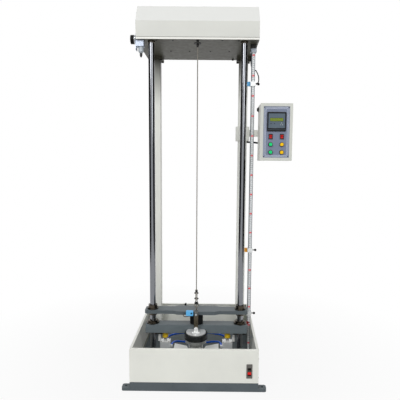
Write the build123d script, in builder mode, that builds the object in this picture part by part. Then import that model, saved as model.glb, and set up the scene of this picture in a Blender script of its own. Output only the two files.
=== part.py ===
from build123d import *
import os
from math import cos, radians, sin, tan

os.makedirs("parts", exist_ok=True)

# Toe cap impact tester: two chrome columns guide a hoist beam and a drop beam
# over an open tray. A winch under the hood lifts both beams by one wire rope.
# Millimetres. The origin is on the floor under the middle of the base, +X to
# the operator's right, +Y to the back of the machine and +Z up.

# Clearances
RUNNING_FIT = 0.05
SLIDE_GAP = 0.1
REST_GAP = 0.3
SIDE_GAP = 0.3
END_GAP = 1.0
SMALL_EDGE = 1.0

# Base plate and its floor lugs
BASE_WIDTH = 600.0
BASE_DEPTH = 650.0
BASE_HEIGHT = 43.0
LUG_REACH = 38.0
LUG_DEPTH = 40.0
LUG_THICKNESS = 15.0
LUG_CORNER = 10.0
LUG_HOLE_RADIUS = 6.0
LUG_HOLE_INSET = 18.0

# Sheet metal tray
SHEET = 2.0
TRAY_HEIGHT = 161.0
RIM_WIDTH = 12.0
FOOT_FLANGE = 10.0
CORNER_RETURN = 18.0
BEND_RADIUS = 1.5

# Guide columns and rear posts
COLUMN_RADIUS = 15.0
COLUMN_INSET = 72.0
COLUMN_Y = -50.0
PORTAL_HEIGHT = 1650.0
COLUMN_FOOT_RADIUS = 35.0
COLUMN_FOOT_HEIGHT = 25.0
COLUMN_HEAD_RADIUS = 18.0
COLUMN_HEAD_HEIGHT = 8.0
FLANGE_CHAMFER = 1.5
POST_SIZE = 50.0
POST_WALL = 3.0
POST_CORNER = 4.0
POST_SIDE_INSET = 54.3
POST_REAR_INSET = 50.0
PLATE_THICKNESS = 8.0
POST_PAD_SIZE = 76.0
POST_PAD_HEIGHT = 16.0

# Top plate and hood
HOOD_SIDE_INSET = 2.0
HOOD_FRONT_REACH = 20.0
HOOD_REAR_INSET = 5.0
TOP_PLATE_THICKNESS = 12.0
HOOD_WALL_HEIGHT = 74.0
HOOD_SLOPE_HEIGHT = 86.0
HOOD_SLOPE_DEPTH = 59.0
HOOD_BEND = 4.0

# Rope line
ROPE_RADIUS = 2.5
ROPE_Y = -72.0
ROPE_HOLE_RADIUS = 6.0
GUIDE_BORE_RADIUS = 3.0
GUIDE_DISC_RADIUS = 17.5
GUIDE_DISC_HEIGHT = 4.0
GUIDE_STEM = 12.0
GUIDE_TIP = 16.0
GUIDE_TIP_RADIUS = 4.2
GUIDE_NUT_HEIGHT = 5.0
GUIDE_NUT_RADIUS = 10.0

# Winch
DRUM_RADIUS = 40.0
DRUM_WIDTH = 50.0
DRUM_FLANGE_RADIUS = 50.0
DRUM_FLANGE = 5.0
DRUM_LIFT = 60.0
SHAFT_RADIUS = 10.0
SHAFT_OVERHANG = 4.0
BEARING_X = 47.0
BEARING_WIDTH = 18.0
BEARING_FOOT_DEPTH = 92.0
BEARING_HEAD_RADIUS = 22.0
BEARING_FOOT_HEIGHT = 12.0
GEARBOX_X = 62.0
GEARBOX_LENGTH = 82.0
GEARBOX_SIZE = 78.0
GEARBOX_CORNER = 8.0
GEARBOX_FOOT_INSET = 9.0
MOTOR_RADIUS = 38.0
MOTOR_LENGTH = 130.0
MOTOR_COWL_LENGTH = 26.0
MOTOR_COWL_GROWTH = 2.0

# Beams
HOIST_BEAM_Z = 285.0
HOIST_BEAM_THICKNESS = 18.0
HOIST_BEAM_END = 38.0
HOIST_BEAM_DEPTH = 70.0
BEAM_CORNER_CUT = 10.0
LOBE_HALF_LENGTH = 95.0
LOBE_TAPER = 24.0
LOBE_GROWTH = 12.0
DROP_BEAM_Z = 180.0
DROP_BEAM_HEIGHT = 46.0
DROP_BEAM_END = 35.0
DROP_BEAM_DEPTH = 60.0
DROP_BEAM_EDGE = 1.5

# Linear bearings
SLEEVE_RADIUS = 22.5
HOIST_SLEEVE_DROP = 13.0
HOIST_FLANGE_RADIUS = 29.0
HOIST_FLANGE = 6.0
HOIST_SEAL_RADIUS = 23.0
HOIST_SEAL_HEIGHT = 16.0
DROP_SLEEVE_DROP = 3.0
DROP_FLANGE_RADIUS = 33.0
DROP_FLANGE = 9.0
DROP_SEAL_RADIUS = 25.0
DROP_SEAL_HEIGHT = 8.0

# Rope end on the hoist beam
EYE_RING_RADIUS = 10.0
EYE_WIRE_RADIUS = 3.0
EYE_SHANK_RADIUS = 4.0
EYE_SHANK_DEPTH = 14.0
EYE_COLLAR_RADIUS = 8.0
STRAND_OFFSET = 2.9
LOOP_HALF_WIDTH = 10.0
LOOP_SHOULDER_DROP = 14.0
LOOP_NECK_RISE = 30.0
CLIP_FIRST_RISE = 14.0
CLIP_PITCH = 29.0
CLIP_WIDTH = 13.0
CLIP_DEPTH = 11.0
CLIP_HEIGHT = 8.0
CLIP_CORNER = 2.0
CLIP_LEG_RADIUS = 2.0
CLIP_LEG_REACH = 9.0
CLIP_NUT_RADIUS = 4.0
CLIP_NUT_HEIGHT = 3.5
TAIL_RISE = 50.0
FERRULE_RADIUS = 6.5
FERRULE_HEIGHT = 12.0
FERRULE_GRIP = 2.0

# Release gear: magnet, sensor and catch hook
MAGNET_RADIUS = 34.0
MAGNET_NECK_RADIUS = 20.0
MAGNET_NECK = 8.0
MAGNET_EDGE = 2.0
SENSOR_LEFT_X = -51.0
SENSOR_WIDTH = 36.0
SENSOR_HEIGHT = 23.0
SENSOR_DEPTH = 21.0
SENSOR_RISE = 2.4
SENSOR_CORNER = 2.0
HAMMER_Y = -110.0
HOOK_THICKNESS = 12.0
HOOK_HALF_WIDTH = 10.5
HOOK_SPAN = 76.0
HOOK_PIN_RADIUS = 4.0
HOOK_SWING = 20.0
CATCH_PIN_RADIUS = 5.0
CATCH_PIN_RISE = 10.0
CATCH_HEAD_RADIUS = 9.0
CATCH_HEAD = 5.0
CATCH_HEAD_EDGE = 2.0
CATCH_SHOULDER_RADIUS = 8.0
HOOK_SLOT_GAP = 0.4

# Hammer on the front face of the drop beam
WEIGHT_RADIUS = 58.5
WEIGHT_HEIGHT = 33.0
WEIGHT_TOP_RISE = 19.0
WEIGHT_EDGE = 2.5
TOP_DISC_RADIUS = 50.0
TOP_DISC = 4.0
CLEVIS_BASE_WIDTH = 40.0
CLEVIS_BASE_DEPTH = 32.0
CLEVIS_BASE = 4.0
CLEVIS_CORNER = 4.0
CLEVIS_EAR = 6.0
CLEVIS_HALF_WIDTH = 10.0
CLEVIS_HEAD_RADIUS = 7.0
CLEVIS_HEAD = 3.0
HOLDER_FLANGE_RADIUS = 55.0
HOLDER_FLANGE = 15.0
HOLDER_CONE = 9.0
HOLDER_NECK = 24.0
HOLDER_CONE_STEP = 2.0
HOLDER_NECK_WIDTH = 72.0
HOLDER_NECK_DEPTH = 56.0
HOLDER_NECK_CORNER = 14.0
HOLDER_SCREW_RISE = 13.0
HOLDER_SCREW_RADIUS = 5.5
HOLDER_SCREW_DEPTH = 6.0
HOLDER_SCREW_X = 21.0
SHANK_RADIUS = 12.0
SHANK_LENGTH = 20.0
STRIKER_LENGTH = 70.0
STRIKER_DEPTH = 36.0
STRIKER_BODY = 6.0
STRIKER_EDGE_RADIUS = 3.0

# Anvil, specimen clamp and side plates
ANVIL_DEPTH = 130.0
ANVIL_SIDE_GAP = 8.0
ANVIL_HEIGHT = 20.0
ANVIL_CHAMFER = 2.0
CLAMP_WIDTH = 56.0
CLAMP_DEPTH = 26.0
CLAMP_HEIGHT = 24.0
FORK_THICKNESS = 8.0
FORK_LENGTH = 82.0
FORK_WIDTH = 52.0
FORK_PRONG = 12.0
SCREW_RADIUS = 5.0
SCREW_KNOB_RADIUS = 14.0
SCREW_KNOB_HEIGHT = 12.0
SCREW_KNOB_SIDES = 12
SCREW_DEPTH = 16.0
SIDE_PLATE_THICKNESS = 5.0
SIDE_PLATE_TOP = 58.0
SIDE_PLATE_GAP = 8.0
SIDE_PLATE_REAR_Y = -22.0
SIDE_PLATE_NOTCH_X = 50.0
SIDE_PLATE_NOTCH_Y = -54.0
SIDE_PLATE_INNER_X = 40.0
SIDE_PLATE_INNER_Y = -90.0
SIDE_PLATE_FRONT_Y = -142.0
SIDE_PLATE_POST_INSET = 33.0
SIDE_PLATE_POST_Y = -95.0
SIDE_PLATE_POST = 22.0

# Rebound catchers
CATCHER_SPREAD = 0.715
CATCHER_SIZE = 52.0
CATCHER_HEIGHT = 86.0
CATCHER_CORNER = 5.0
CATCHER_GROOVE = 4.0
CATCHER_ROD_RADIUS = 8.0
CATCHER_ROD_SHOW = 20.0
CATCHER_STROKE = 18.0
CATCHER_BORE_FLOOR = 6.0
PORT_DROP = 26.0
PORT_BLOCK = 12.0
PORT_Y = -12.0
BUMPER_RADIUS = 15.5
BUMPER_WAIST = 2.0
BUMPER_STEP = 1.2

# Air supply
VALVE_WIDTH = 70.0
VALVE_DEPTH = 34.0
VALVE_HEIGHT = 30.0
VALVE_Y = 150.0
COIL_WIDTH = 30.0
COIL_HEIGHT = 26.0
COIL_CORNER = 4.0
TUBE_RADIUS = 5.0
VALVE_PORT_X = 20.0
LINK_DROP = 11.0
REGULATOR_SETBACK = 32.0
REGULATOR_SIZE = 36.0
REGULATOR_HEIGHT = 29.0
REGULATOR_BRACKET = 3.0
REGULATOR_BRACKET_RISE = 30.0
REGULATOR_BRACKET_DROP = 46.0
REGULATOR_KNOB_RADIUS = 21.5
REGULATOR_KNOB_LENGTH = 25.0
REGULATOR_KNOB_CAP = 3.0
REGULATOR_KNOB_EDGE = 2.0
REGULATOR_KNOB_RISE = 5.0
REGULATOR_STEM_RADIUS = 5.0
BOWL_RADIUS = 13.0
BOWL_HEIGHT = 30.0
BOWL_SHIFT = 3.0
DRAIN_RADIUS = 6.5
DRAIN_HEIGHT = 19.0

# Height scale and its three sliders
SCALE_REACH = 49.5
SCALE_Y = 5.0
SCALE_WIDTH = 18.0
SCALE_DEPTH = 20.0
SCALE_SLOT = 5.0
SCALE_SLOT_DEPTH = 4.0
SCALE_BRACKET_WIDTH = 30.0
SCALE_BRACKET_HEIGHT = 36.0
SCALE_BRACKET_CORNER = 4.0
SCALE_FOOT_HEIGHT = 14.0
SLIDER_WALL = 4.0
SLIDER_HEIGHT = 22.0
UPPER_SLIDER_DROP = 190.0
MIDDLE_SLIDER_Z = 606.0
LOWER_SLIDER_Z = 262.0
SLIDER_SENSOR_WIDTH = 16.0
SLIDER_SENSOR_DEPTH = 20.0
SLIDER_SENSOR_HEIGHT = 20.0
SLIDER_SENSOR_CORNER = 1.5
THUMB_STEM_RADIUS = 2.5
THUMB_STEM_SHOW = 9.0
THUMB_BALL_RADIUS = 6.5
POINTER_THICKNESS = 2.0
POINTER_HEIGHT = 22.0
POINTER_LENGTH = 22.0
POINTER_GAP = 6.0

# Control box on its arm
BOX_REACH = 93.0
BOX_DROP = 434.0
BOX_WIDTH = 160.0
BOX_HEIGHT = 282.0
BOX_DEPTH = 120.0
BOX_FRONT_Y = -65.0
BOX_EDGE = 3.0
BOX_FRAME_X = 15.0
BOX_FRAME_Z = 15.0
PANEL_THICKNESS = 3.0
DISPLAY_SIZE = 94.0
DISPLAY_BEZEL = 5.0
DISPLAY_CORNER = 3.0
DISPLAY_BODY = 90.0
DISPLAY_BODY_DEPTH = 60.0
DISPLAY_RISE = 51.0
SWITCH_HALF_PITCH = 28.0
ROCKER_DROP = 22.0
UPPER_BUTTON_DROP = 61.0
LOWER_BUTTON_DROP = 99.5
BUTTON_RADIUS = 8.5
BUTTON_PROUD = 7.0
BUTTON_SKIRT = 2.0
BUTTON_SKIRT_DEPTH = 3.0
BUTTON_RING = 3.0
BUTTON_RING_HEIGHT = 3.0
ROCKER_LENGTH = 20.0
ROCKER_WIDTH = 14.0
ROCKER_FRAME = 3.5
ROCKER_FRAME_HEIGHT = 2.0
ROCKER_RADIUS = 9.5
ROCKER_RISE = 3.6
ROCKER_DIP = 1.5
ROCKER_TILT = 8.0
CLAMP_RING_WALL = 12.0
CLAMP_RING_HEIGHT = 79.0
CLAMP_RING_RISE = 12.0
ARM_SIZE = 36.0
ARM_RISE = 16.0
ARM_PAD = 8.0
ARM_PAD_SIZE = 70.0
ARM_PAD_CORNER = 5.0

# Circuit breaker in the front panel
BREAKER_INSET = 43.0
BREAKER_RISE = 58.5
BREAKER_WIDTH = 27.0
BREAKER_HEIGHT = 67.0
BREAKER_BEZEL = 3.0
BREAKER_BODY_INSET = 1.5
BREAKER_BODY_DEPTH = 48.0
BREAKER_WINDOW_HEIGHT = 40.0
BREAKER_WINDOW_DEPTH = 17.0
TOGGLE_WIDTH = 16.0
TOGGLE_HUB_RADIUS = 6.0
TOGGLE_REACH = 17.0
TOGGLE_BLADE = 6.0
TOGGLE_INSET = 10.0
TOGGLE_DROP = 3.0
TOGGLE_REST_DROP = 42.0

# Cable leads
BOX_LEAD_RADIUS = 5.0
BOX_LEAD_DROP = 34.0
SCALE_LEAD_RADIUS = 3.5
SCALE_LEAD_X = 6.0
SCALE_LEAD_DROP = 90.0
SCALE_LEAD_GAP = 16.0

# Places and sizes worked out from the values above
column_x = BASE_WIDTH / 2 - COLUMN_INSET
post_x = BASE_WIDTH / 2 - POST_SIDE_INSET
post_y = BASE_DEPTH / 2 - POST_REAR_INSET
hood_width = BASE_WIDTH - 2 * HOOD_SIDE_INSET
hood_front_y = ROPE_Y - HOOD_FRONT_REACH
hood_rear_y = BASE_DEPTH / 2 - HOOD_REAR_INSET
hoist_half_length = column_x + HOIST_BEAM_END
drop_half_length = column_x + DROP_BEAM_END
catcher_x = column_x * CATCHER_SPREAD
port_x = catcher_x - CATCHER_SIZE / 2
side_plate_outer_x = port_x - PORT_BLOCK - SIDE_PLATE_GAP
side_plate_post_x = side_plate_outer_x - SIDE_PLATE_POST_INSET
anvil_width = 2 * (side_plate_post_x - SIDE_PLATE_POST / 2 - ANVIL_SIDE_GAP)
regulator_y = hood_front_y + REGULATOR_SETBACK
scale_x = column_x + SCALE_REACH
upper_slider_z = PORTAL_HEIGHT - UPPER_SLIDER_DROP
box_x = BASE_WIDTH / 2 + BOX_REACH
box_z = PORTAL_HEIGHT - BOX_DROP
clamp_ring_z = box_z + CLAMP_RING_RISE
arm_z = box_z + ARM_RISE
breaker_x = BASE_WIDTH / 2 - BREAKER_INSET
breaker_z = BASE_HEIGHT + BREAKER_RISE
rim_z = BASE_HEIGHT + TRAY_HEIGHT
plate_top_z = PORTAL_HEIGHT + TOP_PLATE_THICKNESS
hood_bend_z = plate_top_z + HOOD_WALL_HEIGHT
hood_top_z = hood_bend_z + HOOD_SLOPE_HEIGHT
drum_z = plate_top_z + DRUM_LIFT
drum_y = ROPE_Y + ROPE_RADIUS + REST_GAP + DRUM_RADIUS
hoist_top_z = HOIST_BEAM_Z + HOIST_BEAM_THICKNESS
drop_top_z = DROP_BEAM_Z + DROP_BEAM_HEIGHT
drop_front_y = COLUMN_Y - DROP_BEAM_DEPTH / 2
lobe_front_y = COLUMN_Y - HOIST_BEAM_DEPTH / 2 - LOBE_GROWTH
catch_pin_z = HOIST_BEAM_Z + CATCH_PIN_RISE
hook_pivot_z = catch_pin_z - HOOK_SPAN
weight_bottom_z = DROP_BEAM_Z + WEIGHT_TOP_RISE - WEIGHT_HEIGHT
weight_top_z = weight_bottom_z + WEIGHT_HEIGHT
anvil_top_z = BASE_HEIGHT + ANVIL_HEIGHT
column_spots = [(-column_x, COLUMN_Y), (column_x, COLUMN_Y)]
post_spots = [(-post_x, post_y), (post_x, post_y)]
sides = (("left", -1), ("right", 1))
post_foot_size = 2 * (BASE_DEPTH / 2 - SHEET - FOOT_FLANGE - REST_GAP - post_y)


def corner_radii(points):
    """Bend radius at each inner corner of a cord route, as large as its runs allow."""
    radii = []
    for before, here, after in zip(points, points[1:], points[2:]):
        run_in = Vector(*here) - Vector(*before)
        run_out = Vector(*after) - Vector(*here)
        turn = radians(run_in.get_angle(run_out))
        shorter = min(run_in.length, run_out.length)
        radii.append(0.45 * shorter / tan(turn / 2))
    return radii


def cord_solid(name, points, radius):
    """Round cord along straight runs joined by tangent arcs."""
    radii = corner_radii(points)
    print(name, "bend radii", [round(value) for value in radii])
    with BuildPart() as cord:
        with BuildLine() as route:
            FilletPolyline(*points, radius=radii)
        with BuildSketch(Plane(origin=route.line @ 0, z_dir=route.line % 0)):
            Circle(radius)
        sweep()
    return cord.part


# Base plate with four floor lugs
with BuildPart() as base_plate:
    with BuildSketch():
        Rectangle(BASE_WIDTH, BASE_DEPTH)
    extrude(amount=BASE_HEIGHT)
    lug_spots = [
        (side_x * BASE_WIDTH / 2, side_y * (BASE_DEPTH - LUG_DEPTH) / 2)
        for side_x in (-1, 1)
        for side_y in (-1, 1)
    ]
    with BuildSketch():
        with Locations(*lug_spots):
            RectangleRounded(2 * LUG_REACH, LUG_DEPTH, LUG_CORNER)
    extrude(amount=LUG_THICKNESS)
    hole_x = BASE_WIDTH / 2 + LUG_REACH - LUG_HOLE_INSET
    hole_y = (BASE_DEPTH - LUG_DEPTH) / 2
    with Locations(Plane.XY.offset(LUG_THICKNESS)):
        with GridLocations(2 * hole_x, 2 * hole_y, 2, 2):
            Hole(LUG_HOLE_RADIUS, depth=LUG_THICKNESS)
base_plate.part.label = "base_plate"
export_step(base_plate.part, "parts/base_plate.step")

# Breaker cut-out, shared by the panel and the breaker body
breaker_hole_width = BREAKER_WIDTH - 2 * BREAKER_BODY_INSET
breaker_hole_height = BREAKER_HEIGHT - 2 * BREAKER_BODY_INSET


def end_panel(facing):
    """Front (facing -1) or rear (facing 1) tray sheet with rim, foot and corner returns."""
    outer_y = facing * BASE_DEPTH / 2
    inner_y = outer_y - facing * SHEET
    half = BASE_WIDTH / 2
    with BuildPart() as panel:
        with BuildSketch(Plane.XY.offset(BASE_HEIGHT)):
            with Locations((0, (outer_y + inner_y) / 2)):
                Rectangle(BASE_WIDTH, SHEET)
            with Locations((-half + 1.5 * SHEET, outer_y - facing * (SHEET + CORNER_RETURN) / 2)):
                Rectangle(SHEET, SHEET + CORNER_RETURN)
            with Locations((half - 1.5 * SHEET, outer_y - facing * (SHEET + CORNER_RETURN) / 2)):
                Rectangle(SHEET, SHEET + CORNER_RETURN)
        extrude(amount=TRAY_HEIGHT - SHEET)
        with BuildSketch(Plane.XY.offset(rim_z - SHEET)):
            with BuildLine():
                Polyline(
                    (-half, outer_y),
                    (half, outer_y),
                    (half, inner_y),
                    (half - SHEET, inner_y),
                    (half - RIM_WIDTH, outer_y - facing * RIM_WIDTH),
                    (-half + RIM_WIDTH, outer_y - facing * RIM_WIDTH),
                    (-half + SHEET, inner_y),
                    (-half, inner_y),
                    close=True,
                )
            make_face()
        extrude(amount=SHEET)
        foot_width = BASE_WIDTH - 4 * SHEET
        with BuildSketch(Plane.XY.offset(BASE_HEIGHT)):
            with Locations((0, inner_y - facing * FOOT_FLANGE / 2)):
                Rectangle(foot_width, FOOT_FLANGE)
        extrude(amount=SHEET)
        outer_top = panel.edges().filter_by(Axis.X).group_by(Axis.Z)[-1]
        fillet(outer_top.sort_by(Axis.Y)[0 if facing < 0 else -1], BEND_RADIUS)
    return panel.part


front_sheet = end_panel(-1)
rear_sheet = end_panel(1)
with BuildPart() as tray_front_panel:
    add(front_sheet)
    with BuildSketch(Plane.XZ.offset(BASE_DEPTH / 2)):
        with Locations((breaker_x, breaker_z)):
            Rectangle(breaker_hole_width, breaker_hole_height)
    extrude(amount=-SHEET, mode=Mode.SUBTRACT)
tray_front_panel.part.label = "tray_front_panel"
export_step(tray_front_panel.part, "parts/tray_front_panel.step")

with BuildPart() as tray_rear_panel:
    add(rear_sheet)
tray_rear_panel.part.label = "tray_rear_panel"
export_step(tray_rear_panel.part, "parts/tray_rear_panel.step")

# Side panels between the front and rear panels
with BuildPart() as tray_side_panels:
    side_length = BASE_DEPTH - 2 * SHEET
    for side, sign in sides:
        outer_x = sign * BASE_WIDTH / 2
        with BuildSketch(Plane.XY.offset(BASE_HEIGHT)):
            with Locations((outer_x - sign * SHEET / 2, 0)):
                Rectangle(SHEET, side_length)
        extrude(amount=TRAY_HEIGHT - SHEET)
        with BuildSketch(Plane.XY.offset(rim_z - SHEET)):
            with BuildLine():
                Polyline(
                    (outer_x, -side_length / 2),
                    (outer_x - sign * SHEET, -side_length / 2),
                    (outer_x - sign * RIM_WIDTH, -BASE_DEPTH / 2 + RIM_WIDTH),
                    (outer_x - sign * RIM_WIDTH, BASE_DEPTH / 2 - RIM_WIDTH),
                    (outer_x - sign * SHEET, side_length / 2),
                    (outer_x, side_length / 2),
                    close=True,
                )
            make_face()
        extrude(amount=SHEET)
        foot_length = side_length - 2 * (CORNER_RETURN + SHEET)
        with BuildSketch(Plane.XY.offset(BASE_HEIGHT)):
            with Locations((outer_x - sign * (SHEET + FOOT_FLANGE / 2), 0)):
                Rectangle(FOOT_FLANGE, foot_length)
        extrude(amount=SHEET)
    outer_edges = tray_side_panels.edges().filter_by(Axis.Y).group_by(Axis.Z)[-1].sort_by(Axis.X)
    fillet([outer_edges[0], outer_edges[-1]], BEND_RADIUS)
tray_side_panels.part.label = "tray_side_panels"
export_step(tray_side_panels.part, "parts/tray_side_panels.step")

# Chrome guide columns
with BuildPart() as guide_columns:
    with BuildSketch(Plane.XY.offset(BASE_HEIGHT)):
        with Locations(*column_spots):
            Circle(COLUMN_RADIUS)
    extrude(amount=PORTAL_HEIGHT - BASE_HEIGHT)
guide_columns.part.label = "guide_columns"
export_step(guide_columns.part, "parts/guide_columns.step")

# Rear posts, square tube
with BuildPart() as rear_posts:
    with BuildSketch(Plane.XY.offset(BASE_HEIGHT + PLATE_THICKNESS)):
        with Locations(*post_spots):
            RectangleRounded(POST_SIZE, POST_SIZE, POST_CORNER)
            Rectangle(POST_SIZE - 2 * POST_WALL, POST_SIZE - 2 * POST_WALL, mode=Mode.SUBTRACT)
    extrude(amount=PORTAL_HEIGHT - BASE_HEIGHT - PLATE_THICKNESS)
rear_posts.part.label = "rear_posts"
export_step(rear_posts.part, "parts/rear_posts.step")

# Column feet and heads, and the post foot plates
with BuildPart() as frame_flanges:
    column_bore = COLUMN_RADIUS + RUNNING_FIT
    with BuildSketch(Plane.XY.offset(BASE_HEIGHT)):
        with Locations(*column_spots):
            Circle(COLUMN_FOOT_RADIUS)
            Circle(column_bore, mode=Mode.SUBTRACT)
    extrude(amount=COLUMN_FOOT_HEIGHT)
    with BuildSketch(Plane.XY.offset(PORTAL_HEIGHT - COLUMN_HEAD_HEIGHT)):
        with Locations(*column_spots):
            Circle(COLUMN_HEAD_RADIUS)
            Circle(column_bore, mode=Mode.SUBTRACT)
    extrude(amount=COLUMN_HEAD_HEIGHT)
    rims = frame_flanges.edges().filter_by(GeomType.CIRCLE)
    chamfer(
        rims.filter_by(lambda edge: edge.radius > COLUMN_HEAD_RADIUS - 1).group_by(Axis.Z)[1]
        + rims.filter_by(lambda edge: edge.radius > COLUMN_HEAD_RADIUS - 1).group_by(Axis.Z)[2],
        FLANGE_CHAMFER,
    )
    with BuildSketch(Plane.XY.offset(BASE_HEIGHT)):
        with Locations(*post_spots):
            RectangleRounded(post_foot_size, post_foot_size, POST_CORNER)
    extrude(amount=PLATE_THICKNESS)
frame_flanges.part.label = "frame_flanges"
export_step(frame_flanges.part, "parts/frame_flanges.step")

# Top plate that closes the portal and carries the winch, with a pad round each post
with BuildPart() as top_plate:
    with BuildSketch(Plane.XY.offset(PORTAL_HEIGHT)):
        with Locations((0, (hood_front_y + hood_rear_y) / 2)):
            Rectangle(hood_width, hood_rear_y - hood_front_y)
        with Locations((0, ROPE_Y)):
            Circle(ROPE_HOLE_RADIUS + RUNNING_FIT, mode=Mode.SUBTRACT)
    extrude(amount=TOP_PLATE_THICKNESS)
    with BuildSketch(Plane.XY.offset(PORTAL_HEIGHT)):
        with Locations(*post_spots):
            Rectangle(POST_PAD_SIZE, POST_PAD_SIZE)
            RectangleRounded(
                POST_SIZE + 2 * RUNNING_FIT,
                POST_SIZE + 2 * RUNNING_FIT,
                POST_CORNER,
                mode=Mode.SUBTRACT,
            )
    extrude(amount=-POST_PAD_HEIGHT)
    chamfer(top_plate.faces().sort_by(Axis.Y)[0].edges().filter_by(Axis.X), SMALL_EDGE)
top_plate.part.label = "top_plate"
export_step(top_plate.part, "parts/top_plate.step")

# Folded hood with a sloping front, open at the bottom
with BuildPart() as hood:
    with BuildSketch(Plane.YZ.offset(-hood_width / 2)):
        with BuildLine():
            Polyline(
                (hood_front_y, plate_top_z),
                (hood_front_y, hood_bend_z),
                (hood_front_y + HOOD_SLOPE_DEPTH, hood_top_z),
                (hood_rear_y, hood_top_z),
                (hood_rear_y, plate_top_z),
                close=True,
            )
        make_face()
    extrude(amount=hood_width)
    bends = hood.edges().filter_by(Axis.X).group_by(Axis.Z)
    fillet(bends[1] + bends[2], HOOD_BEND)
    offset(amount=-SHEET, openings=hood.faces().sort_by(Axis.Z)[0])
hood.part.label = "hood"
export_step(hood.part, "parts/hood.step")

# Winch drum on its shaft, one piece that turns
gearbox_end_x = GEARBOX_X + GEARBOX_LENGTH
with BuildPart() as winch_drum:
    with BuildSketch(Plane.XZ.offset(-drum_y)):
        with BuildLine():
            shaft_start = -BEARING_X - BEARING_WIDTH / 2 - SHAFT_OVERHANG
            shaft_end = GEARBOX_X + GEARBOX_LENGTH / 2
            core = DRUM_WIDTH / 2
            rim_out = core + DRUM_FLANGE
            Polyline(
                (shaft_start, drum_z),
                (shaft_start, drum_z + SHAFT_RADIUS),
                (-rim_out, drum_z + SHAFT_RADIUS),
                (-rim_out, drum_z + DRUM_FLANGE_RADIUS),
                (-core, drum_z + DRUM_FLANGE_RADIUS),
                (-core, drum_z + DRUM_RADIUS),
                (core, drum_z + DRUM_RADIUS),
                (core, drum_z + DRUM_FLANGE_RADIUS),
                (rim_out, drum_z + DRUM_FLANGE_RADIUS),
                (rim_out, drum_z + SHAFT_RADIUS),
                (shaft_end, drum_z + SHAFT_RADIUS),
                (shaft_end, drum_z),
                close=True,
            )
        make_face()
    revolve(axis=Axis((0, drum_y, drum_z), (1, 0, 0)))
winch_drum.part.label = "winch_drum"
export_step(winch_drum.part, "parts/winch_drum.step")

# Winch drive: the pillow blocks, a worm gearbox with a hollow output, and its motor
with BuildPart() as winch_drive:
    for bearing_x in (-BEARING_X, BEARING_X):
        with BuildSketch(Plane.YZ.offset(bearing_x - BEARING_WIDTH / 2)):
            with Locations((drum_y, plate_top_z + BEARING_FOOT_HEIGHT / 2)):
                Rectangle(BEARING_FOOT_DEPTH, BEARING_FOOT_HEIGHT)
            with Locations((drum_y, (plate_top_z + drum_z) / 2)):
                Rectangle(2 * BEARING_HEAD_RADIUS, drum_z - plate_top_z)
            with Locations((drum_y, drum_z)):
                Circle(BEARING_HEAD_RADIUS)
                Circle(SHAFT_RADIUS + RUNNING_FIT, mode=Mode.SUBTRACT)
        extrude(amount=BEARING_WIDTH)
    with BuildSketch(Plane.YZ.offset(GEARBOX_X)):
        with Locations((drum_y, drum_z)):
            RectangleRounded(GEARBOX_SIZE, GEARBOX_SIZE, GEARBOX_CORNER)
        with Locations((drum_y, (plate_top_z + drum_z) / 2)):
            Rectangle(GEARBOX_SIZE - 2 * GEARBOX_FOOT_INSET, drum_z - plate_top_z)
    extrude(amount=GEARBOX_LENGTH)
    with BuildSketch(Plane.YZ.offset(GEARBOX_X)):
        with Locations((drum_y, drum_z)):
            Circle(SHAFT_RADIUS + RUNNING_FIT)
    extrude(amount=GEARBOX_LENGTH / 2 + END_GAP, mode=Mode.SUBTRACT)
    with BuildSketch(Plane.YZ.offset(gearbox_end_x)):
        with Locations((drum_y, drum_z)):
            Circle(MOTOR_RADIUS - MOTOR_COWL_GROWTH)
    extrude(amount=MOTOR_LENGTH)
    with BuildSketch(Plane.YZ.offset(gearbox_end_x + MOTOR_LENGTH - MOTOR_COWL_LENGTH)):
        with Locations((drum_y, drum_z)):
            Circle(MOTOR_RADIUS)
    extrude(amount=MOTOR_COWL_LENGTH)
winch_drive.part.label = "winch_drive"
export_step(winch_drive.part, "parts/winch_drive.step")

# Rope guide: a sleeve through the top plate with a disc under it and a nut above
with BuildPart() as rope_guide:
    disc_top = PORTAL_HEIGHT - GUIDE_STEM
    disc_bottom = disc_top - GUIDE_DISC_HEIGHT
    with BuildSketch(Plane.XZ.offset(-ROPE_Y)):
        with BuildLine():
            Polyline(
                (GUIDE_BORE_RADIUS, disc_bottom - GUIDE_TIP),
                (GUIDE_TIP_RADIUS, disc_bottom - GUIDE_TIP),
                (ROPE_HOLE_RADIUS, disc_bottom),
                (GUIDE_DISC_RADIUS, disc_bottom),
                (GUIDE_DISC_RADIUS, disc_top),
                (ROPE_HOLE_RADIUS, disc_top),
                (ROPE_HOLE_RADIUS, plate_top_z),
                (GUIDE_NUT_RADIUS, plate_top_z),
                (GUIDE_NUT_RADIUS, plate_top_z + GUIDE_NUT_HEIGHT),
                (GUIDE_BORE_RADIUS, plate_top_z + GUIDE_NUT_HEIGHT),
                close=True,
            )
        make_face()
    revolve(axis=Axis((0, ROPE_Y, 0), (0, 0, 1)))
rope_guide.part.label = "rope_guide"
export_step(rope_guide.part, "parts/rope_guide.step")


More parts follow.
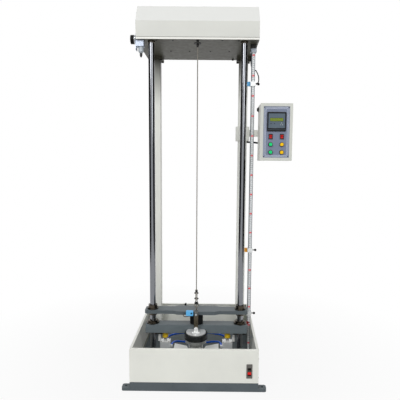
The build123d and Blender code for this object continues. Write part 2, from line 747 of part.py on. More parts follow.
def bearing_pair(beam_z, beam_height, sleeve_drop, flange_radius, flange, seal_radius, seal):
    """Two flanged linear bearings, bored for the columns."""
    beam_top = beam_z + beam_height
    with BuildPart() as pair:
        for column_x, column_y in column_spots:
            with BuildSketch(Plane.XZ.offset(-column_y)):
                with BuildLine():
                    bore = column_x + COLUMN_RADIUS + RUNNING_FIT
                    Polyline(
                        (bore, beam_z - sleeve_drop),
                        (column_x + SLEEVE_RADIUS, beam_z - sleeve_drop),
                        (column_x + SLEEVE_RADIUS, beam_top),
                        (column_x + flange_radius, beam_top),
                        (column_x + flange_radius, beam_top + flange),
                        (column_x + seal_radius, beam_top + flange),
                        (column_x + seal_radius, beam_top + flange + seal),
                        (bore, beam_top + flange + seal),
                        close=True,
                    )
                make_face()
            revolve(axis=Axis((column_x, column_y, 0), (0, 0, 1)))
        outer = pair.edges().filter_by(GeomType.CIRCLE)
        tops = outer.filter_by(lambda edge: edge.radius > flange_radius - 1)
        chamfer(tops.group_by(Axis.Z)[-1], SMALL_EDGE)
    return pair.part


# Hoist beam: a plate with a wider middle and the catch pin on its front edge
with BuildPart() as hoist_beam:
    half_depth = HOIST_BEAM_DEPTH / 2
    with BuildSketch(Plane.XY.offset(HOIST_BEAM_Z)):
        with Locations((0, COLUMN_Y)):
            Rectangle(2 * hoist_half_length, HOIST_BEAM_DEPTH)
        chamfer(vertices(), BEAM_CORNER_CUT)
        with BuildLine():
            lobe = half_depth + LOBE_GROWTH
            Polyline(
                (-LOBE_HALF_LENGTH - LOBE_TAPER, COLUMN_Y - half_depth),
                (-LOBE_HALF_LENGTH, COLUMN_Y - lobe),
                (LOBE_HALF_LENGTH, COLUMN_Y - lobe),
                (LOBE_HALF_LENGTH + LOBE_TAPER, COLUMN_Y - half_depth),
                (LOBE_HALF_LENGTH + LOBE_TAPER, COLUMN_Y + half_depth),
                (LOBE_HALF_LENGTH, COLUMN_Y + lobe),
                (-LOBE_HALF_LENGTH, COLUMN_Y + lobe),
                (-LOBE_HALF_LENGTH - LOBE_TAPER, COLUMN_Y + half_depth),
                close=True,
            )
        make_face()
        with Locations(*column_spots):
            Circle(SLEEVE_RADIUS + RUNNING_FIT, mode=Mode.SUBTRACT)
    extrude(amount=HOIST_BEAM_THICKNESS)
    with BuildSketch(Plane.XY.offset(hoist_top_z)):
        with Locations((0, ROPE_Y)):
            Circle(EYE_SHANK_RADIUS + RUNNING_FIT)
    extrude(amount=-EYE_SHANK_DEPTH - END_GAP, mode=Mode.SUBTRACT)
    hook_front_y = HAMMER_Y - HOOK_THICKNESS / 2 - REST_GAP
    hook_back_y = HAMMER_Y + HOOK_THICKNESS / 2 + REST_GAP
    with BuildSketch(Plane.XZ.offset(-lobe_front_y)):
        with Locations((0, catch_pin_z)):
            Circle(CATCH_SHOULDER_RADIUS)
    extrude(amount=lobe_front_y - hook_back_y)
    with BuildSketch(Plane.XZ.offset(-hook_back_y)):
        with Locations((0, catch_pin_z)):
            Circle(CATCH_PIN_RADIUS)
    extrude(amount=hook_back_y - hook_front_y)
    with BuildSketch(Plane.XZ.offset(-hook_front_y)):
        with Locations((0, catch_pin_z)):
            Circle(CATCH_HEAD_RADIUS)
    extrude(amount=CATCH_HEAD)
    fillet(hoist_beam.faces().sort_by(Axis.Y)[0].edges(), CATCH_HEAD_EDGE)
hoist_beam.part.label = "hoist_beam"
export_step(hoist_beam.part, "parts/hoist_beam.step")

upper_pair = bearing_pair(
    HOIST_BEAM_Z,
    HOIST_BEAM_THICKNESS,
    HOIST_SLEEVE_DROP,
    HOIST_FLANGE_RADIUS,
    HOIST_FLANGE,
    HOIST_SEAL_RADIUS,
    HOIST_SEAL_HEIGHT,
)
with BuildPart() as hoist_bearings:
    add(upper_pair)
hoist_bearings.part.label = "hoist_bearings"
export_step(hoist_bearings.part, "parts/hoist_bearings.step")

# Drop beam: a solid bar
with BuildPart() as drop_beam:
    with BuildSketch(Plane.XY.offset(DROP_BEAM_Z)):
        with Locations((0, COLUMN_Y)):
            Rectangle(2 * drop_half_length, DROP_BEAM_DEPTH)
    extrude(amount=DROP_BEAM_HEIGHT)
    chamfer(drop_beam.edges().filter_by(Axis.X), DROP_BEAM_EDGE)
    with BuildSketch(Plane.XY.offset(DROP_BEAM_Z)):
        with Locations(*column_spots):
            Circle(SLEEVE_RADIUS + RUNNING_FIT)
    extrude(amount=DROP_BEAM_HEIGHT, mode=Mode.SUBTRACT)
drop_beam.part.label = "drop_beam"
export_step(drop_beam.part, "parts/drop_beam.step")

lower_pair = bearing_pair(
    DROP_BEAM_Z,
    DROP_BEAM_HEIGHT,
    DROP_SLEEVE_DROP,
    DROP_FLANGE_RADIUS,
    DROP_FLANGE,
    DROP_SEAL_RADIUS,
    DROP_SEAL_HEIGHT,
)
with BuildPart() as drop_bearings:
    add(lower_pair)
drop_bearings.part.label = "drop_bearings"
export_step(drop_bearings.part, "parts/drop_bearings.step")

# Rope end: eye bolt, rope eye with its tail, two clips and a ferrule
ring_z = hoist_top_z + EYE_RING_RADIUS + EYE_WIRE_RADIUS
loop_low_z = ring_z + EYE_RING_RADIUS - EYE_WIRE_RADIUS - ROPE_RADIUS - REST_GAP
neck_z = loop_low_z + LOOP_NECK_RISE
first_clip_z = neck_z + CLIP_FIRST_RISE
tail_top_z = neck_z + TAIL_RISE
ferrule_z = tail_top_z - FERRULE_GRIP
rope_low_z = ferrule_z + FERRULE_HEIGHT
with BuildPart() as rope_end:
    with Locations(Location((0, ROPE_Y, ring_z), (0, 90, 0))):
        Torus(EYE_RING_RADIUS, EYE_WIRE_RADIUS)
    with BuildSketch(Plane.XY.offset(hoist_top_z - EYE_SHANK_DEPTH)):
        with Locations((0, ROPE_Y)):
            Circle(EYE_SHANK_RADIUS)
    extrude(amount=EYE_SHANK_DEPTH + EYE_WIRE_RADIUS)
    with BuildSketch(Plane.XY.offset(hoist_top_z)):
        with Locations((0, ROPE_Y)):
            Circle(EYE_COLLAR_RADIUS)
    extrude(amount=EYE_WIRE_RADIUS)
    # The rope runs down, round the eye and back up beside itself
    shoulder_z = neck_z - LOOP_SHOULDER_DROP
    eye_points = [
        (-STRAND_OFFSET, ROPE_Y, tail_top_z),
        (-STRAND_OFFSET, ROPE_Y, neck_z),
        (-LOOP_HALF_WIDTH, ROPE_Y, shoulder_z),
        (-LOOP_HALF_WIDTH, ROPE_Y, loop_low_z),
        (LOOP_HALF_WIDTH, ROPE_Y, loop_low_z),
        (LOOP_HALF_WIDTH, ROPE_Y, shoulder_z),
        (STRAND_OFFSET, ROPE_Y, neck_z),
        (STRAND_OFFSET, ROPE_Y, tail_top_z),
    ]
    add(cord_solid("rope eye", eye_points, ROPE_RADIUS))
    # Two clips grip both strands
    for clip_z in (first_clip_z, first_clip_z + CLIP_PITCH):
        with BuildSketch(Plane.XY.offset(clip_z - CLIP_HEIGHT / 2)):
            with Locations((0, ROPE_Y)):
                RectangleRounded(CLIP_WIDTH, CLIP_DEPTH, CLIP_CORNER)
        extrude(amount=CLIP_HEIGHT)
        with BuildSketch(Plane.YZ.offset(-CLIP_WIDTH / 2 - CLIP_LEG_REACH / 2)):
            with Locations((ROPE_Y, clip_z)):
                Circle(CLIP_LEG_RADIUS)
        extrude(amount=CLIP_WIDTH + CLIP_LEG_REACH)
        for side, sign in sides:
            nut_x = sign * (CLIP_WIDTH / 2 + CLIP_NUT_HEIGHT / 2)
            with BuildSketch(Plane.YZ.offset(nut_x - CLIP_NUT_HEIGHT / 2)):
                with Locations((ROPE_Y, clip_z)):
                    RegularPolygon(CLIP_NUT_RADIUS, 6)
            extrude(amount=CLIP_NUT_HEIGHT)
    with BuildSketch(Plane.XY.offset(ferrule_z)):
        with Locations((0, ROPE_Y)):
            Circle(FERRULE_RADIUS)
    extrude(amount=FERRULE_HEIGHT)
rope_end.part.label = "rope_end"
export_step(rope_end.part, "parts/rope_end.step")

# Wire rope from the ferrule up to the drum
with BuildPart() as hoist_rope:
    with BuildSketch(Plane.XY.offset(rope_low_z)):
        with Locations((0, ROPE_Y)):
            Circle(ROPE_RADIUS)
    extrude(amount=drum_z - rope_low_z)
hoist_rope.part.label = "hoist_rope"
export_step(hoist_rope.part, "parts/hoist_rope.step")

# Release magnet under the hoist beam, its face just above the drop beam
with BuildPart() as release_magnet:
    magnet_low = drop_top_z + REST_GAP
    with BuildSketch(Plane.XZ.offset(-COLUMN_Y)):
        with BuildLine():
            Polyline(
                (0, magnet_low),
                (MAGNET_RADIUS, magnet_low),
                (MAGNET_RADIUS, HOIST_BEAM_Z - MAGNET_NECK),
                (MAGNET_NECK_RADIUS, HOIST_BEAM_Z - MAGNET_NECK),
                (MAGNET_NECK_RADIUS, HOIST_BEAM_Z),
                (0, HOIST_BEAM_Z),
                close=True,
            )
        make_face()
    revolve(axis=Axis((0, COLUMN_Y, 0), (0, 0, 1)))
    rims = release_magnet.edges().filter_by(GeomType.CIRCLE)
    fillet(rims.filter_by(lambda edge: edge.radius > MAGNET_RADIUS - 1), MAGNET_EDGE)
release_magnet.part.label = "release_magnet"
export_step(release_magnet.part, "parts/release_magnet.step")

# Sensor on the front edge of the hoist beam, to the left of the catch hook
with BuildPart() as release_sensor:
    sensor_z = HOIST_BEAM_Z + SENSOR_RISE
    with BuildSketch(Plane.XZ.offset(-lobe_front_y)):
        with Locations((SENSOR_LEFT_X + SENSOR_WIDTH / 2, sensor_z + SENSOR_HEIGHT / 2)):
            Rectangle(SENSOR_WIDTH, SENSOR_HEIGHT)
    extrude(amount=SENSOR_DEPTH)
    fillet(release_sensor.edges().filter_by(Axis.Y), SENSOR_CORNER)
release_sensor.part.label = "release_sensor"
export_step(release_sensor.part, "parts/release_sensor.step")

# Catch hook: a bar pivoted in the clevis, its open slot over the catch pin
hook_back = HAMMER_Y + HOOK_THICKNESS / 2
with BuildPart() as catch_hook:
    with BuildSketch(Plane.XZ.offset(-hook_back)):
        with Locations((0, (hook_pivot_z + catch_pin_z) / 2)):
            SlotCenterToCenter(HOOK_SPAN, 2 * HOOK_HALF_WIDTH, rotation=90)
        with Locations((0, hook_pivot_z)):
            Circle(HOOK_PIN_RADIUS + RUNNING_FIT, mode=Mode.SUBTRACT)
        with BuildLine(mode=Mode.PRIVATE) as slot_route:
            CenterArc((0, hook_pivot_z), HOOK_SPAN, 90, HOOK_SWING)
        SlotArc(slot_route.edge(), 2 * (CATCH_PIN_RADIUS + HOOK_SLOT_GAP), mode=Mode.SUBTRACT)
    extrude(amount=HOOK_THICKNESS)
catch_hook.part.label = "catch_hook"
export_step(catch_hook.part, "parts/catch_hook.step")


def hammer_disc(radius):
    """Round section of the hammer, cut flat where it seats on the drop beam."""
    with BuildSketch() as disc:
        with Locations((0, HAMMER_Y)):
            Circle(radius)
        with Locations((0, drop_front_y)):
            Rectangle(2 * radius, 2 * radius, align=(Align.CENTER, Align.MAX), mode=Mode.INTERSECT)
    return disc.sketch


# Clevis on the bright top disc, with its pin
disc_outline = hammer_disc(TOP_DISC_RADIUS)
disc_top_z = weight_top_z + TOP_DISC
ear_z = disc_top_z + CLEVIS_BASE
hook_front = hook_back - HOOK_THICKNESS
with BuildPart() as hook_clevis:
    with BuildSketch(Plane.XY.offset(weight_top_z)):
        add(disc_outline)
    extrude(amount=TOP_DISC)
    with BuildSketch(Plane.XY.offset(disc_top_z)):
        with Locations((0, HAMMER_Y)):
            RectangleRounded(CLEVIS_BASE_WIDTH, CLEVIS_BASE_DEPTH, CLEVIS_CORNER)
    extrude(amount=CLEVIS_BASE)
    for ear_start in (hook_back + REST_GAP + CLEVIS_EAR, hook_front - REST_GAP):
        with BuildSketch(Plane.XZ.offset(-ear_start)):
            with Locations((0, hook_pivot_z)):
                Circle(CLEVIS_HALF_WIDTH)
            with Locations((0, (ear_z + hook_pivot_z) / 2)):
                Rectangle(2 * CLEVIS_HALF_WIDTH, hook_pivot_z - ear_z)
            with Locations((0, hook_pivot_z)):
                Circle(HOOK_PIN_RADIUS + RUNNING_FIT, mode=Mode.SUBTRACT)
        extrude(amount=CLEVIS_EAR)
with BuildPart() as clevis_pin:
    pin_back = hook_back + REST_GAP + CLEVIS_EAR
    pin_front = hook_front - REST_GAP - CLEVIS_EAR
    with BuildSketch(Plane.XZ.offset(-pin_back)):
        with Locations((0, hook_pivot_z)):
            Circle(HOOK_PIN_RADIUS)
    extrude(amount=pin_back - pin_front)
    with BuildSketch(Plane.XZ.offset(-pin_front)):
        with Locations((0, hook_pivot_z)):
            Circle(CLEVIS_HEAD_RADIUS)
    extrude(amount=CLEVIS_HEAD)
    fillet(clevis_pin.faces().sort_by(Axis.Y)[0].edges(), SMALL_EDGE)
hook_clevis_group = Compound(children=[hook_clevis.part, clevis_pin.part])
hook_clevis_group.label = "hook_clevis"
export_step(hook_clevis_group, "parts/hook_clevis.step")

# Hammer weight, seated on the front face of the drop beam
weight_outline = hammer_disc(WEIGHT_RADIUS)
with BuildPart() as hammer_weight:
    with BuildSketch(Plane.XY.offset(weight_bottom_z)):
        add(weight_outline)
    extrude(amount=WEIGHT_HEIGHT)
    round_rims = hammer_weight.edges().filter_by(GeomType.CIRCLE)
    chamfer(round_rims, WEIGHT_EDGE)
hammer_weight.part.label = "hammer_weight"
export_step(hammer_weight.part, "parts/hammer_weight.step")

# Striker holder: a flange that tapers to a block with two screw recesses
holder_top_z = weight_bottom_z
cone_top_z = holder_top_z - HOLDER_FLANGE
neck_top_z = cone_top_z - HOLDER_CONE
neck_low_z = neck_top_z - HOLDER_NECK
with BuildPart() as striker_holder:
    with BuildSketch(Plane.XY.offset(cone_top_z)):
        with Locations((0, HAMMER_Y)):
            Circle(HOLDER_FLANGE_RADIUS)
    extrude(amount=HOLDER_FLANGE)
    with BuildSketch(Plane.XY.offset(cone_top_z)):
        with Locations((0, HAMMER_Y)):
            Circle(HOLDER_FLANGE_RADIUS - HOLDER_CONE_STEP)
    with BuildSketch(Plane.XY.offset(neck_top_z)):
        with Locations((0, HAMMER_Y)):
            Circle(HOLDER_NECK_WIDTH / 2 + HOLDER_CONE_STEP)
    loft()
    with BuildSketch(Plane.XY.offset(neck_low_z)):
        with Locations((0, HAMMER_Y)):
            RectangleRounded(HOLDER_NECK_WIDTH, HOLDER_NECK_DEPTH, HOLDER_NECK_CORNER)
    extrude(amount=HOLDER_NECK)
    with BuildSketch(Plane.XY.offset(neck_low_z)):
        with Locations((0, HAMMER_Y)):
            Circle(SHANK_RADIUS + RUNNING_FIT)
    extrude(amount=SHANK_LENGTH + END_GAP, mode=Mode.SUBTRACT)
    neck_front_y = HAMMER_Y - HOLDER_NECK_DEPTH / 2
    with BuildSketch(Plane.XZ.offset(-neck_front_y)):
        with Locations(
            (-HOLDER_SCREW_X, neck_low_z + HOLDER_SCREW_RISE),
            (HOLDER_SCREW_X, neck_low_z + HOLDER_SCREW_RISE),
        ):
            Circle(HOLDER_SCREW_RADIUS)
    extrude(amount=-HOLDER_SCREW_DEPTH, mode=Mode.SUBTRACT)
striker_holder.part.label = "striker_holder"
export_step(striker_holder.part, "parts/striker_holder.step")

# Striker: a right-angled wedge with a rounded edge, on a round shank
with BuildPart() as striker:
    half_depth = STRIKER_DEPTH / 2
    wedge_top_z = neck_low_z - STRIKER_BODY
    with BuildSketch(Plane.YZ.offset(-STRIKER_LENGTH / 2)):
        with BuildLine():
            Polyline(
                (HAMMER_Y - half_depth, neck_low_z),
                (HAMMER_Y - half_depth, wedge_top_z),
                (HAMMER_Y, wedge_top_z - half_depth),
                (HAMMER_Y + half_depth, wedge_top_z),
                (HAMMER_Y + half_depth, neck_low_z),
                close=True,
            )
        make_face()
        fillet(vertices().sort_by(Axis.Z)[0], STRIKER_EDGE_RADIUS)
    extrude(amount=STRIKER_LENGTH)
    with BuildSketch(Plane.XY.offset(neck_low_z)):
        with Locations((0, HAMMER_Y)):
            Circle(SHANK_RADIUS)
    extrude(amount=SHANK_LENGTH)
striker.part.label = "striker"
export_step(striker.part, "parts/striker.step")

# Height pointer on the right end of the drop beam
scale_front_y = SCALE_Y - SCALE_DEPTH / 2
with BuildPart() as height_pointer:
    blade_front_y = scale_front_y - POINTER_GAP - POINTER_THICKNESS
    with BuildSketch(Plane.XY.offset(drop_top_z - POINTER_HEIGHT)):
        with Locations((drop_half_length, COLUMN_Y)):
            Rectangle(
                POINTER_THICKNESS,
                blade_front_y + POINTER_THICKNESS - COLUMN_Y,
                align=(Align.MIN, Align.MIN),
            )
    extrude(amount=POINTER_HEIGHT)
    with BuildSketch(Plane.XZ.offset(-blade_front_y - POINTER_THICKNESS)):
        with BuildLine():
            Polyline(
                (drop_half_length, drop_top_z),
                (drop_half_length + POINTER_LENGTH, drop_top_z - POINTER_HEIGHT / 2),
                (drop_half_length, drop_top_z - POINTER_HEIGHT),
                close=True,
            )
        make_face()
    extrude(amount=POINTER_THICKNESS)
height_pointer.part.label = "height_pointer"
export_step(height_pointer.part, "parts/height_pointer.step")

# Anvil plate under the striker
with BuildPart() as anvil:
    with BuildSketch(Plane.XY.offset(BASE_HEIGHT)):
        with Locations((0, HAMMER_Y)):
            Rectangle(anvil_width, ANVIL_DEPTH)
    extrude(amount=ANVIL_HEIGHT)
    chamfer(anvil.faces().sort_by(Axis.Z)[-1].edges(), ANVIL_CHAMFER)
anvil.part.label = "anvil"
export_step(anvil.part, "parts/anvil.step")

# Specimen clamp: a block behind the anvil, a fork on it and a knurled screw
clamp_front_y = HAMMER_Y + ANVIL_DEPTH / 2
clamp_middle_y = clamp_front_y + CLAMP_DEPTH / 2
clamp_top_z = BASE_HEIGHT + CLAMP_HEIGHT
with BuildPart() as specimen_clamp:
    with BuildSketch(Plane.XY.offset(BASE_HEIGHT)):
        with Locations((0, clamp_middle_y)):
            Rectangle(CLAMP_WIDTH, CLAMP_DEPTH)
            Circle(SCREW_RADIUS + RUNNING_FIT, mode=Mode.SUBTRACT)
    extrude(amount=CLAMP_HEIGHT)
specimen_clamp.part.label = "specimen_clamp"
export_step(specimen_clamp.part, "parts/specimen_clamp.step")

with BuildPart() as clamp_fork:
    fork_rear_y = clamp_front_y + CLAMP_DEPTH
    prong_length = FORK_LENGTH - CLAMP_DEPTH - FORK_PRONG / 2
    with BuildSketch(Plane.XY.offset(clamp_top_z)):
        with Locations((0, fork_rear_y)):
            Rectangle(FORK_WIDTH, FORK_LENGTH, align=(Align.CENTER, Align.MAX))
        fillet(vertices().group_by(Axis.Y)[0], FORK_PRONG / 3)
        with Locations((0, fork_rear_y - FORK_LENGTH)):
            Rectangle(
                FORK_WIDTH - 2 * FORK_PRONG,
                prong_length,
                align=(Align.CENTER, Align.MIN),
                mode=Mode.SUBTRACT,
            )
        with Locations((0, clamp_middle_y)):
            Circle(SCREW_RADIUS + RUNNING_FIT, mode=Mode.SUBTRACT)
    extrude(amount=FORK_THICKNESS)
clamp_fork.part.label = "clamp_fork"
export_step(clamp_fork.part, "parts/clamp_fork.step")

with BuildPart() as clamp_screw:
    fork_top_z = clamp_top_z + FORK_THICKNESS
    with BuildSketch(Plane.XY.offset(clamp_top_z - SCREW_DEPTH)):
        with Locations((0, clamp_middle_y)):
            Circle(SCREW_RADIUS)
    extrude(amount=SCREW_DEPTH + FORK_THICKNESS + REST_GAP)
    with BuildSketch(Plane.XY.offset(fork_top_z + REST_GAP)):
        with Locations((0, clamp_middle_y)):
            RegularPolygon(SCREW_KNOB_RADIUS, SCREW_KNOB_SIDES)
    extrude(amount=SCREW_KNOB_HEIGHT)
clamp_screw.part.label = "clamp_screw"
export_step(clamp_screw.part, "parts/clamp_screw.step")

# White side plates on posts, left and right of the anvil
with BuildPart() as side_plates:
    side_plate_z = BASE_HEIGHT + SIDE_PLATE_TOP - SIDE_PLATE_THICKNESS
    for side, sign in sides:
        with BuildSketch(Plane.XY.offset(side_plate_z)):
            with BuildLine():
                Polyline(
                    (sign * side_plate_outer_x, SIDE_PLATE_REAR_Y),
                    (sign * SIDE_PLATE_NOTCH_X, SIDE_PLATE_NOTCH_Y),
                    (sign * SIDE_PLATE_INNER_X, SIDE_PLATE_INNER_Y),
                    (sign * SIDE_PLATE_INNER_X, SIDE_PLATE_FRONT_Y),
                    (sign * side_plate_outer_x, SIDE_PLATE_FRONT_Y),
                    close=True,
                )
            make_face()
        extrude(amount=SIDE_PLATE_THICKNESS)
        with BuildSketch(Plane.XY.offset(BASE_HEIGHT)):
            with Locations((sign * side_plate_post_x, SIDE_PLATE_POST_Y)):
                Rectangle(SIDE_PLATE_POST, SIDE_PLATE_POST)
        extrude(amount=SIDE_PLATE_TOP - SIDE_PLATE_THICKNESS)
side_plates.part.label = "side_plates"
export_step(side_plates.part, "parts/side_plates.step")

# Rebound catchers: two compact air cylinders under the drop beam
catcher_top_z = BASE_HEIGHT + CATCHER_HEIGHT
rod_top_z = catcher_top_z + CATCHER_ROD_SHOW
port_z = catcher_top_z - PORT_DROP
with BuildPart() as catcher_bodies:
    for side, sign in sides:
        with BuildSketch(Plane.XY.offset(BASE_HEIGHT)):
            with Locations((sign * catcher_x, COLUMN_Y)):
                RectangleRounded(CATCHER_SIZE, CATCHER_SIZE, CATCHER_CORNER)
                with PolarLocations(CATCHER_SIZE / 2, 2):
                    Rectangle(CATCHER_GROOVE, 2 * CATCHER_GROOVE, mode=Mode.SUBTRACT)
        extrude(amount=CATCHER_HEIGHT)
        with BuildSketch(Plane.XY.offset(BASE_HEIGHT + CATCHER_BORE_FLOOR)):
            with Locations((sign * catcher_x, COLUMN_Y)):
                Circle(CATCHER_ROD_RADIUS + RUNNING_FIT)
        extrude(amount=CATCHER_HEIGHT, mode=Mode.SUBTRACT)
        with BuildSketch(Plane.XY.offset(port_z - PORT_BLOCK / 2)):
            with Locations((sign * (port_x - PORT_BLOCK / 2), COLUMN_Y + PORT_Y)):
                Rectangle(PORT_BLOCK, PORT_BLOCK)
        extrude(amount=PORT_BLOCK)
catcher_bodies.part.label = "catcher_bodies"
export_step(catcher_bodies.part, "parts/catcher_bodies.step")

for side, sign in sides:
    with BuildPart() as catcher_rod:
        rod_low_z = BASE_HEIGHT + CATCHER_BORE_FLOOR + CATCHER_STROKE + END_GAP
        with BuildSketch(Plane.XY.offset(rod_low_z)):
            with Locations((sign * catcher_x, COLUMN_Y)):
                Circle(CATCHER_ROD_RADIUS)
        extrude(amount=rod_top_z - rod_low_z)
    catcher_rod.part.label = f"catcher_rod_{side}"
    export_step(catcher_rod.part, f"parts/catcher_rod_{side}.step")
    with BuildPart() as bumper:
        bumper_top_z = DROP_BEAM_Z - REST_GAP
        bumper_third = (bumper_top_z - rod_top_z) / 3
        edge_x = sign * catcher_x + BUMPER_RADIUS
        waist_x = edge_x - BUMPER_WAIST
        with BuildSketch(Plane.XZ.offset(-COLUMN_Y)):
            with BuildLine():
                Polyline(
                    (sign * catcher_x, rod_top_z),
                    (edge_x, rod_top_z),
                    (edge_x, rod_top_z + bumper_third),
                    (waist_x, rod_top_z + BUMPER_STEP * bumper_third),
                    (waist_x, bumper_top_z - BUMPER_STEP * bumper_third),
                    (edge_x, bumper_top_z - bumper_third),
                    (edge_x, bumper_top_z),
                    (sign * catcher_x, bumper_top_z),
                    close=True,
                )
            make_face()
        revolve(axis=Axis((sign * catcher_x, COLUMN_Y, 0), (0, 0, 1)))
    bumper.part.label = f"bumper_{side}"
    export_step(bumper.part, f"parts/bumper_{side}.step")

# Air valve at the back of the tray
valve_front_y = VALVE_Y - VALVE_DEPTH / 2
with BuildPart() as air_valve:
    with BuildSketch(Plane.XY.offset(BASE_HEIGHT)):
        with Locations((0, VALVE_Y)):
            Rectangle(VALVE_WIDTH, VALVE_DEPTH)
    extrude(amount=VALVE_HEIGHT)
    with BuildSketch(Plane.XY.offset(BASE_HEIGHT + VALVE_HEIGHT)):
        with Locations((0, VALVE_Y)):
            RectangleRounded(COIL_WIDTH, VALVE_DEPTH, COIL_CORNER)
    extrude(amount=COIL_HEIGHT)
air_valve.part.label = "air_valve"
export_step(air_valve.part, "parts/air_valve.step")

# Blue air tubes: one from each catcher to the valve, one between the catchers
elbow_x = port_x - PORT_BLOCK / 2
elbow_y = COLUMN_Y + PORT_Y + PORT_BLOCK / 2
valve_port_z = BASE_HEIGHT + VALVE_HEIGHT / 2
tube_solids = []
for side, sign in sides:
    tube_points = [
        (sign * elbow_x, elbow_y, port_z),
        (sign * elbow_x, elbow_y + 30, port_z),
        (sign * (elbow_x - 12), elbow_y + 66, port_z - 5),
        (sign * (elbow_x - 39), elbow_y + 92, port_z - 16),
        (sign * (elbow_x - 72), elbow_y + 112, port_z - 29),
        (sign * (elbow_x - 99), elbow_y + 132, port_z - 40),
        (sign * VALVE_PORT_X, valve_front_y - 30, valve_port_z),
        (sign * VALVE_PORT_X, valve_front_y, valve_port_z),
    ]
    tube_solids.append(cord_solid(f"air tube {side}", tube_points, TUBE_RADIUS))
catcher_rear_y = COLUMN_Y + CATCHER_SIZE / 2
link_z = catcher_top_z - LINK_DROP
link_left_half = [
    (-catcher_x, catcher_rear_y, link_z),
    (-catcher_x, catcher_rear_y + 30, link_z),
    (9 - catcher_x, catcher_rear_y + 59, link_z),
    (34 - catcher_x, catcher_rear_y + 81, link_z),
    (70 - catcher_x, catcher_rear_y + 97, link_z),
    (115 - catcher_x, catcher_rear_y + 107, link_z),
]
link_right_half = [(-x, y, z) for x, y, z in reversed(link_left_half)]
link_points = link_left_half + [(0, catcher_rear_y + 110, link_z)] + link_right_half
tube_solids.append(cord_solid("link tube", link_points, TUBE_RADIUS))
air_tubes = Compound(children=tube_solids)
air_tubes.label = "air_tubes"
export_step(air_tubes, "parts/air_tubes.step")

# Filter-regulator at the left end of the top plate: bracket, body, bowl, drain
plate_left_x = -hood_width / 2
knob_z = PORTAL_HEIGHT + REGULATOR_KNOB_RISE
with BuildPart() as air_regulator:
    with BuildSketch(Plane.YZ.offset(plate_left_x - REGULATOR_BRACKET)):
        with Locations((regulator_y, PORTAL_HEIGHT + (REGULATOR_BRACKET_RISE - REGULATOR_BRACKET_DROP) / 2)):
            Rectangle(REGULATOR_SIZE, REGULATOR_BRACKET_RISE + REGULATOR_BRACKET_DROP)
    extrude(amount=REGULATOR_BRACKET)
    with BuildSketch(Plane.YZ.offset(plate_left_x - REGULATOR_BRACKET)):
        with Locations((regulator_y, knob_z)):
            Circle(REGULATOR_STEM_RADIUS)
    extrude(amount=-REGULATOR_KNOB_LENGTH + REGULATOR_KNOB_CAP)
    with BuildSketch(Plane.XY.offset(PORTAL_HEIGHT - REGULATOR_HEIGHT)):
        with Locations((plate_left_x + REGULATOR_SIZE / 2, regulator_y)):
            Rectangle(REGULATOR_SIZE, REGULATOR_SIZE)
    extrude(amount=REGULATOR_HEIGHT)
    bowl_x = plate_left_x + REGULATOR_SIZE / 2 + BOWL_SHIFT
    bowl_top_z = PORTAL_HEIGHT - REGULATOR_HEIGHT
    bowl_low_z = bowl_top_z - BOWL_HEIGHT
    with BuildSketch(Plane.XZ.offset(-regulator_y)):
        with BuildLine():
            Polyline(
                (bowl_x, bowl_top_z),
                (bowl_x + BOWL_RADIUS, bowl_top_z),
                (bowl_x + BOWL_RADIUS, bowl_low_z + BOWL_RADIUS / 2),
                (bowl_x + DRAIN_RADIUS, bowl_low_z),
                (bowl_x + DRAIN_RADIUS, bowl_low_z - DRAIN_HEIGHT / 2),
                (bowl_x + DRAIN_RADIUS / 2, bowl_low_z - DRAIN_HEIGHT),
                (bowl_x, bowl_low_z - DRAIN_HEIGHT),
                close=True,
            )
        make_face()
    revolve(axis=Axis((bowl_x, regulator_y, 0), (0, 0, 1)))
air_regulator.part.label = "air_regulator"
export_step(air_regulator.part, "parts/air_regulator.step")

with BuildPart() as regulator_knob:
    knob_x = plate_left_x - REGULATOR_BRACKET - REST_GAP
    with BuildSketch(Plane.YZ.offset(knob_x)):
        with Locations((regulator_y, knob_z)):
            Circle(REGULATOR_KNOB_RADIUS)
    extrude(amount=-REGULATOR_KNOB_LENGTH)
    fillet(regulator_knob.edges().sort_by(Axis.X)[0], REGULATOR_KNOB_EDGE)
    with BuildSketch(Plane.YZ.offset(knob_x)):
        with Locations((regulator_y, knob_z)):
            Circle(REGULATOR_STEM_RADIUS + RUNNING_FIT)
    extrude(amount=-REGULATOR_KNOB_LENGTH + REGULATOR_KNOB_CAP, mode=Mode.SUBTRACT)
regulator_knob.part.label = "regulator_knob"
export_step(regulator_knob.part, "parts/regulator_knob.step")

# Height scale: a slotted bar with its foot and top bracket
scale_low_z = BASE_HEIGHT + SCALE_FOOT_HEIGHT
scale_top_z = PORTAL_HEIGHT - SCALE_BRACKET_HEIGHT
with BuildPart() as scale_bar:
    with BuildSketch(Plane.XY.offset(scale_low_z)):
        with Locations((scale_x, SCALE_Y)):
            Rectangle(SCALE_WIDTH, SCALE_DEPTH)
            with Locations((-SCALE_WIDTH / 2, 0), (SCALE_WIDTH / 2, 0)):
                Rectangle(2 * SCALE_SLOT_DEPTH, SCALE_SLOT, mode=Mode.SUBTRACT)
    extrude(amount=scale_top_z - scale_low_z)
with BuildPart() as scale_foot:
    with BuildSketch(Plane.XY.offset(BASE_HEIGHT)):
        with Locations((scale_x, SCALE_Y)):
            Rectangle(SCALE_WIDTH, SCALE_BRACKET_WIDTH)
    extrude(amount=SCALE_FOOT_HEIGHT)
with BuildPart() as scale_bracket:
    with BuildSketch(Plane.XY.offset(scale_top_z)):
        with Locations((scale_x, SCALE_Y)):
            RectangleRounded(SCALE_BRACKET_WIDTH, SCALE_BRACKET_WIDTH, SCALE_BRACKET_CORNER)
    extrude(amount=SCALE_BRACKET_HEIGHT)
height_scale = Compound(children=[scale_bar.part, scale_foot.part, scale_bracket.part])
height_scale.label = "height_scale"
export_step(height_scale, "parts/height_scale.step")

